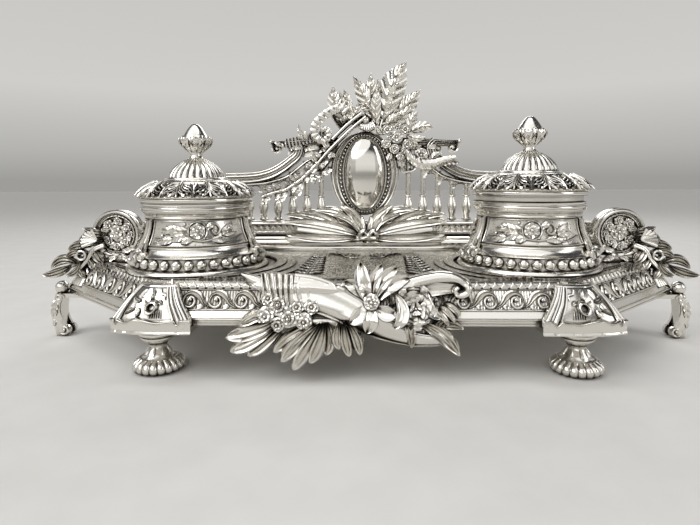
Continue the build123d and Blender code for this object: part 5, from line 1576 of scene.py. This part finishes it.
def leg_dressing(bm, hand):
    for y, facing in ((-3.0, 1), (3.0, -1)):
        def place(u, v, h, y=y, facing=facing):
            return Vector((hand * u, y - facing * h, v))

        body = through((146.4, 20.6), (149.4, 17.0), (150.4, 12.4), (149.2, 7.6), (147.2, 4.0), (148.0, 1.6))
        strip(bm, place, body, lambda t: 1.5 + 0.9 * sin(pi * t) ** 2, lambda t, s: 0.9 - 0.5 * s * s, rows=30,
              columns=6, thick=1.4)
        leaf(bm, place, (148.2, 19.4), (150.0, 8.6), 1.9, rise=1.0, lobes=4, bow=0.1, rows=18, columns=6)
        blade(bm, place, curl((146.2, 3.4), 2.6, 0.6, -30, -1.2), 0.9, 1.2, rows=30, thick=1.6, taper=0.3)
        bead(bm, place, (146.2, 3.4), 0.9, 1.4, detail=8)
        blade(bm, place, curl((148.2, 19.6), 1.9, 0.5, 160, 1.1), 0.7, 1.1, rows=24, thick=1.4, taper=0.3)
        leaf(bm, place, (149.6, 9.6), (151.4, 5.0), 1.0, rise=0.8, lobes=2, rows=10, columns=4)

    def outside(u, v, h):
        bow = 151.4 - 4.2 * ((v - 11) / 10) ** 2
        return Vector((hand * (bow + h), u, v))

    leaf(bm, outside, (0, 19.4), (0, 3.4), 2.3, rise=0.8, lobes=5, rows=24, columns=8, thick=1.0)
    spun(bm, [(0.0, 19.7), (1.9, 19.9), (2.5, 20.5), (1.9, 21.2), (0.0, 21.3)], (hand * 148.2, 0), segments=24,
         closed=False)


for hand, side in ((1, "right"), (-1, "left")):
    dressing = bmesh.new()
    wall_dressing(dressing, hand)
    finish_piece(dressing, side + "_wall_dressing", "stand", cast_silver, "silver_cast")
    dressing = bmesh.new()
    leg_dressing(dressing, hand)
    finish_piece(dressing, side + "_leg_dressing", "stand", cast_silver, "silver_cast")

# %% [markdown]
# ## The front mount
# A broad ribbon with flowers and hanging leaves was cast as one and screwed to the front of the
# skirt. It is the nearest thing to the eye, so its folds are modelled, not drawn: the ribbon is one
# smooth strip, its gathers are rounded ridges side by side, and each petal stands by itself.

# %% The mount's ground
def on_mount(lift=0.0):
    """Places in front of the skirt: it leans with the frieze, hangs straight below it, and bends
    back over the rim above it."""
    def place(u, v, h):
        inset = inset_at(max(21.0, min(36.5, v)))
        over = max(0.0, v - 37.0)
        return Vector((u, -(CORNER_Y - inset * 0.75) + 0.25 * over + 0.02 * over ** 2 - h - lift, v))

    return place


ground, raised_ground = on_mount(), on_mount(1.8)

# %% The ribbon and its gathers
scroll = bmesh.new()
band = through((-27.0, 33.6), (-19.4, 32.9), (-12.8, 31.0), (-5.4, 28.0), (2.7, 23.5), (10.1, 19.6), (18.4, 16.6), (27.6, 16.0))
strip(scroll, ground, band, lambda t: 6.6 - 4.6 * t ** 1.3, lambda t, s: 2.0 + 1.5 * cos(1.45 * s - 0.35) + 0.5 * (s > 0.86)
      - 0.4 * cos(5 * s) * (1 - t), rows=70, columns=22, thick=1.8)
edge_path = through((-26.4, 27.2), (-19.0, 26.6), (-12.0, 24.4), (-4.0, 20.6), (4.0, 17.4), (11.6, 15.4), (19.0, 14.6),
                    (27.8, 15.0))
blade(scroll, ground, edge_path, 0.5, 3.1, rows=70, columns=6, thick=2.4, taper=0.1, start=1)
for index in range(40):
    (u, v), _ = edge_path(0.05 + 0.9 * index / 39)
    bead(scroll, ground, (u, v - 0.2), 0.42, 3.5, detail=5)
gather_path = through((-39.0, 33.8), (-33.0, 34.2), (-27.0, 33.6), (-18.6, 32.4))


def gathered(t, s):
    """Rounded folds side by side, deepest at the top."""
    fold = abs(sin(8.5 * pi * (t + 0.05 * s)))
    return 1.3 + 1.7 * sin(pi * (0.15 + 0.8 * t)) + 1.5 * fold ** 0.8 * (0.75 + 0.25 * s) - 0.7 * s * s


strip(scroll, ground, gather_path, lambda t: 6.4 - 0.8 * t, gathered, rows=110, columns=12, thick=2.2)
tail_path = through((-47.2, 39.8), (-42.6, 37.6), (-38.2, 35.8), (-34.6, 35.2))
strip(scroll, ground, tail_path, lambda t: 0.5 + 3.6 * t ** 1.1, lambda t, s: 1.4 + 0.9 * t - 0.9 * s * s + 0.5 * (abs(s) > 0.85),
      rows=26, columns=12, thick=1.6)
curl_path = through((13.0, 35.0), (20.4, 37.4), (28.0, 38.9), (34.4, 38.4), (38.4, 36.0), (38.0, 33.2), (35.2, 32.4),
                    (33.6, 34.0), (34.8, 35.4))
strip(scroll, ground, curl_path, lambda t: 2.3 - 1.5 * t, lambda t, s: 1.6 + 2.0 * sqrt(1 - 0.9 * s * s), rows=60, columns=10,
      thick=2.4)
hollow_path = through((15.0, 33.6), (23.4, 34.2), (30.0, 34.6), (35.6, 34.4))
strip(scroll, ground, hollow_path, lambda t: 3.2 - 1.9 * t, lambda t, s: 0.6 + 1.1 * s * s, rows=30, columns=10, thick=1.4)
finish_piece(scroll, "mount_ribbon", "stand", cast_silver, "silver_cast", "mount_scroll")

# %% The flowers on it
def petal(bm, place, start, tip, wide, rise, bow=0.0, roll=0.5, lift=1.0, rows=18, columns=10, fold=0.0, blunt=1.15):
    """A full petal: smooth, cupped along its length, with a rolled edge."""
    def outline(t):
        return wide * max(0.08, sin(pi * min(1, t * 0.97 + 0.03) ** blunt) ** 0.55)

    def face(t, s):
        return (rise * sin(pi * min(1, 0.15 + t * 0.85)) + lift * t * t + roll * wide * s * s * 0.6
                - fold * wide * max(0, 1 - abs(s) * 3) * 0.5 + 0.05 * wide * cos(9 * s))

    strip(bm, place, line(start, tip, bow), outline, face, rows, columns, 0.8)


def rose(bm, place, centre, reach):
    """A full-blown rose: rings of rounded petals that close over one another."""
    for ring, (share, count, stand) in enumerate(((1.0, 5, 0.4), (0.74, 4, 1.6), (0.5, 3, 2.8), (0.28, 3, 3.8))):
        for index in range(count):
            angle = 2 * pi * (index + 0.37 * ring) / count + 0.4

            def lifted(u, v, h, stand=stand):
                return place(u, v, h + stand)

            start = (centre[0] + cos(angle) * reach * share * 0.1, centre[1] + sin(angle) * reach * share * 0.1)
            end = (centre[0] + cos(angle) * reach * share, centre[1] + sin(angle) * reach * share)
            petal(bm, lifted, start, end, reach * share * 0.78, 0.6, roll=0.25, lift=1.3, rows=14, columns=10,
                  blunt=2.3)
    bead(bm, place, centre, reach * 0.13, 5.2, detail=10)


heads = bmesh.new()
for (u, v), reach, petals, turn in (((-32.4, 29.4), 4.2, 6, 0.3), ((-37.0, 25.4), 3.2, 5, 0.7), ((-28.4, 24.8), 3.8, 6, 0.1),
                                    ((-22.6, 23.4), 3.2, 6, 0.5), ((-19.8, 28.6), 2.8, 5, 0.2), ((-36.2, 31.6), 2.8, 5, 0.9),
                                    ((-25.4, 28.6), 2.9, 5, 0.4), ((-32.6, 22.2), 2.8, 5, 0.6)):
    rosette(heads, raised_ground, (u, v), reach, petals, 1.9, layers=3 if reach > 3.6 else 2, turn=turn, open_up=0.6)
for start, tip, wide, bow, rise in (
        ((1.6, 30.0), (-1.6, 44.2), 2.9, 0.05, 2.2), ((1.4, 31.0), (-7.6, 37.4), 2.5, -0.1, 1.6),
        ((3.0, 31.6), (6.4, 43.4), 2.3, 0.1, 1.8), ((3.8, 31.4), (12.2, 42.4), 2.5, 0.12, 1.9),
        ((4.6, 30.6), (16.8, 38.6), 2.6, 0.14, 1.9), ((4.0, 28.6), (11.6, 26.4), 2.6, -0.12, 1.4),
        ((2.0, 28.8), (0.6, 19.4), 2.7, 0.08, 1.8), ((0.6, 29.4), (-5.6, 23.2), 2.5, 0.1, 1.5)):
    petal(heads, raised_ground, start, tip, wide, rise, bow, lift=1.4, fold=0.5)
rosette(heads, on_mount(4.4), (2.4, 30.6), 3.0, 7, 1.3, layers=2, eye=0.34)
rose(heads, raised_ground, (18.6, 28.6), 7.4)
petal(heads, on_mount(4.0), (11.6, 33.0), (10.6, 21.6), 2.3, 1.8, 0.24, lift=0.6)
petal(heads, on_mount(3.0), (23.0, 33.8), (28.0, 25.0), 2.0, 1.4, -0.2, lift=0.4)
finish_piece(heads, "mount_blossoms", "stand", cast_silver, "silver_cast", "mount_flowers")

# %% The leaves that hang below it
hanging = bmesh.new()
near_leaf, far_leaf = on_mount(1.6), on_mount(0.2)
strip(hanging, far_leaf, line((-38.0, 21.6), (28.0, 21.6)), lambda t: 1.9, lambda t, s: 0.8 - 0.5 * s * s, rows=40, columns=6,
      thick=1.6)
for path, half in ((line((-33, 22), (-44, 15)), 4.6), (line((-18, 21.5), (-26.4, 12.4)), 5.4),
                   (line((-15.6, 21), (-17.6, 14)), 3.8), (line((-8, 22.6), (-5.4, 15)), 2.6)):
    strip(hanging, far_leaf, path, lambda t, half=half: half * (1 - 0.25 * t), lambda t, s: 0.9 - 0.6 * s * s, rows=14,
          columns=8, thick=1.2)
for place, start, tip, wide, bow in (
        (near_leaf, (-31.6, 24.4), (-51.6, 17.6), 3.4, 0.08), (near_leaf, (-32.4, 22.0), (-50.0, 12.2), 3.5, 0.03),
        (far_leaf, (-30.0, 21.4), (-43.8, 10.2), 3.4, 0.0), (far_leaf, (-33.0, 25.4), (-47.0, 21.4), 2.6, -0.1),
        (far_leaf, (-17.2, 22.6), (-34.0, 11.6), 3.3, -0.04), (near_leaf, (-16.6, 22.8), (-31.0, 8.4), 3.4, -0.03),
        (near_leaf, (-15.8, 23.0), (-26.6, 5.4), 3.6, 0.0), (near_leaf, (-15.0, 23.0), (-20.4, 8.0), 3.4, 0.05),
        (far_leaf, (-14.4, 22.8), (-14.4, 10.6), 3.2, 0.08), (far_leaf, (-14.0, 22.8), (-11.6, 14.0), 2.4, 0.1),
        (near_leaf, (-9.4, 23.6), (-9.4, 13.2), 2.2, -0.1), (near_leaf, (-7.8, 23.6), (-5.6, 10.6), 2.7, -0.04),
        (near_leaf, (-6.6, 23.4), (-1.8, 11.2), 2.5, 0.08)):
    flowing(hanging, place, start, tip, wide * 0.94, 2.6, bow, 2.2, ridges=1.5, blunt=1.35, deep=0.2)
for place, start, tip, wide, bow in (
        (near_leaf, (14.6, 24.0), (17.0, 13.8), 2.3, 0.1), (near_leaf, (19.0, 24.0), (17.4, 15.4), 2.2, -0.14),
        (near_leaf, (21.0, 22.6), (34.8, 10.8), 3.2, 0.08), (far_leaf, (21.8, 18.0), (30.0, 26.0), 2.4, -0.1),
        (near_leaf, (25.6, 27.4), (30.6, 22.2), 1.5, 0.1), (near_leaf, (27.6, 28.6), (32.8, 23.6), 1.5, 0.1),
        (near_leaf, (29.8, 29.6), (35.0, 25.2), 1.5, 0.1), (far_leaf, (23.0, 21.0), (36.4, 20.6), 2.2, 0.1)):
    flowing(hanging, place, start, tip, wide, 2.0, bow, 1.8, ridges=1.5, deep=0.2)
finish_piece(hanging, "mount_hanging_leaves", "stand", burnished_silver, "silver_cast", "mount_leaves")
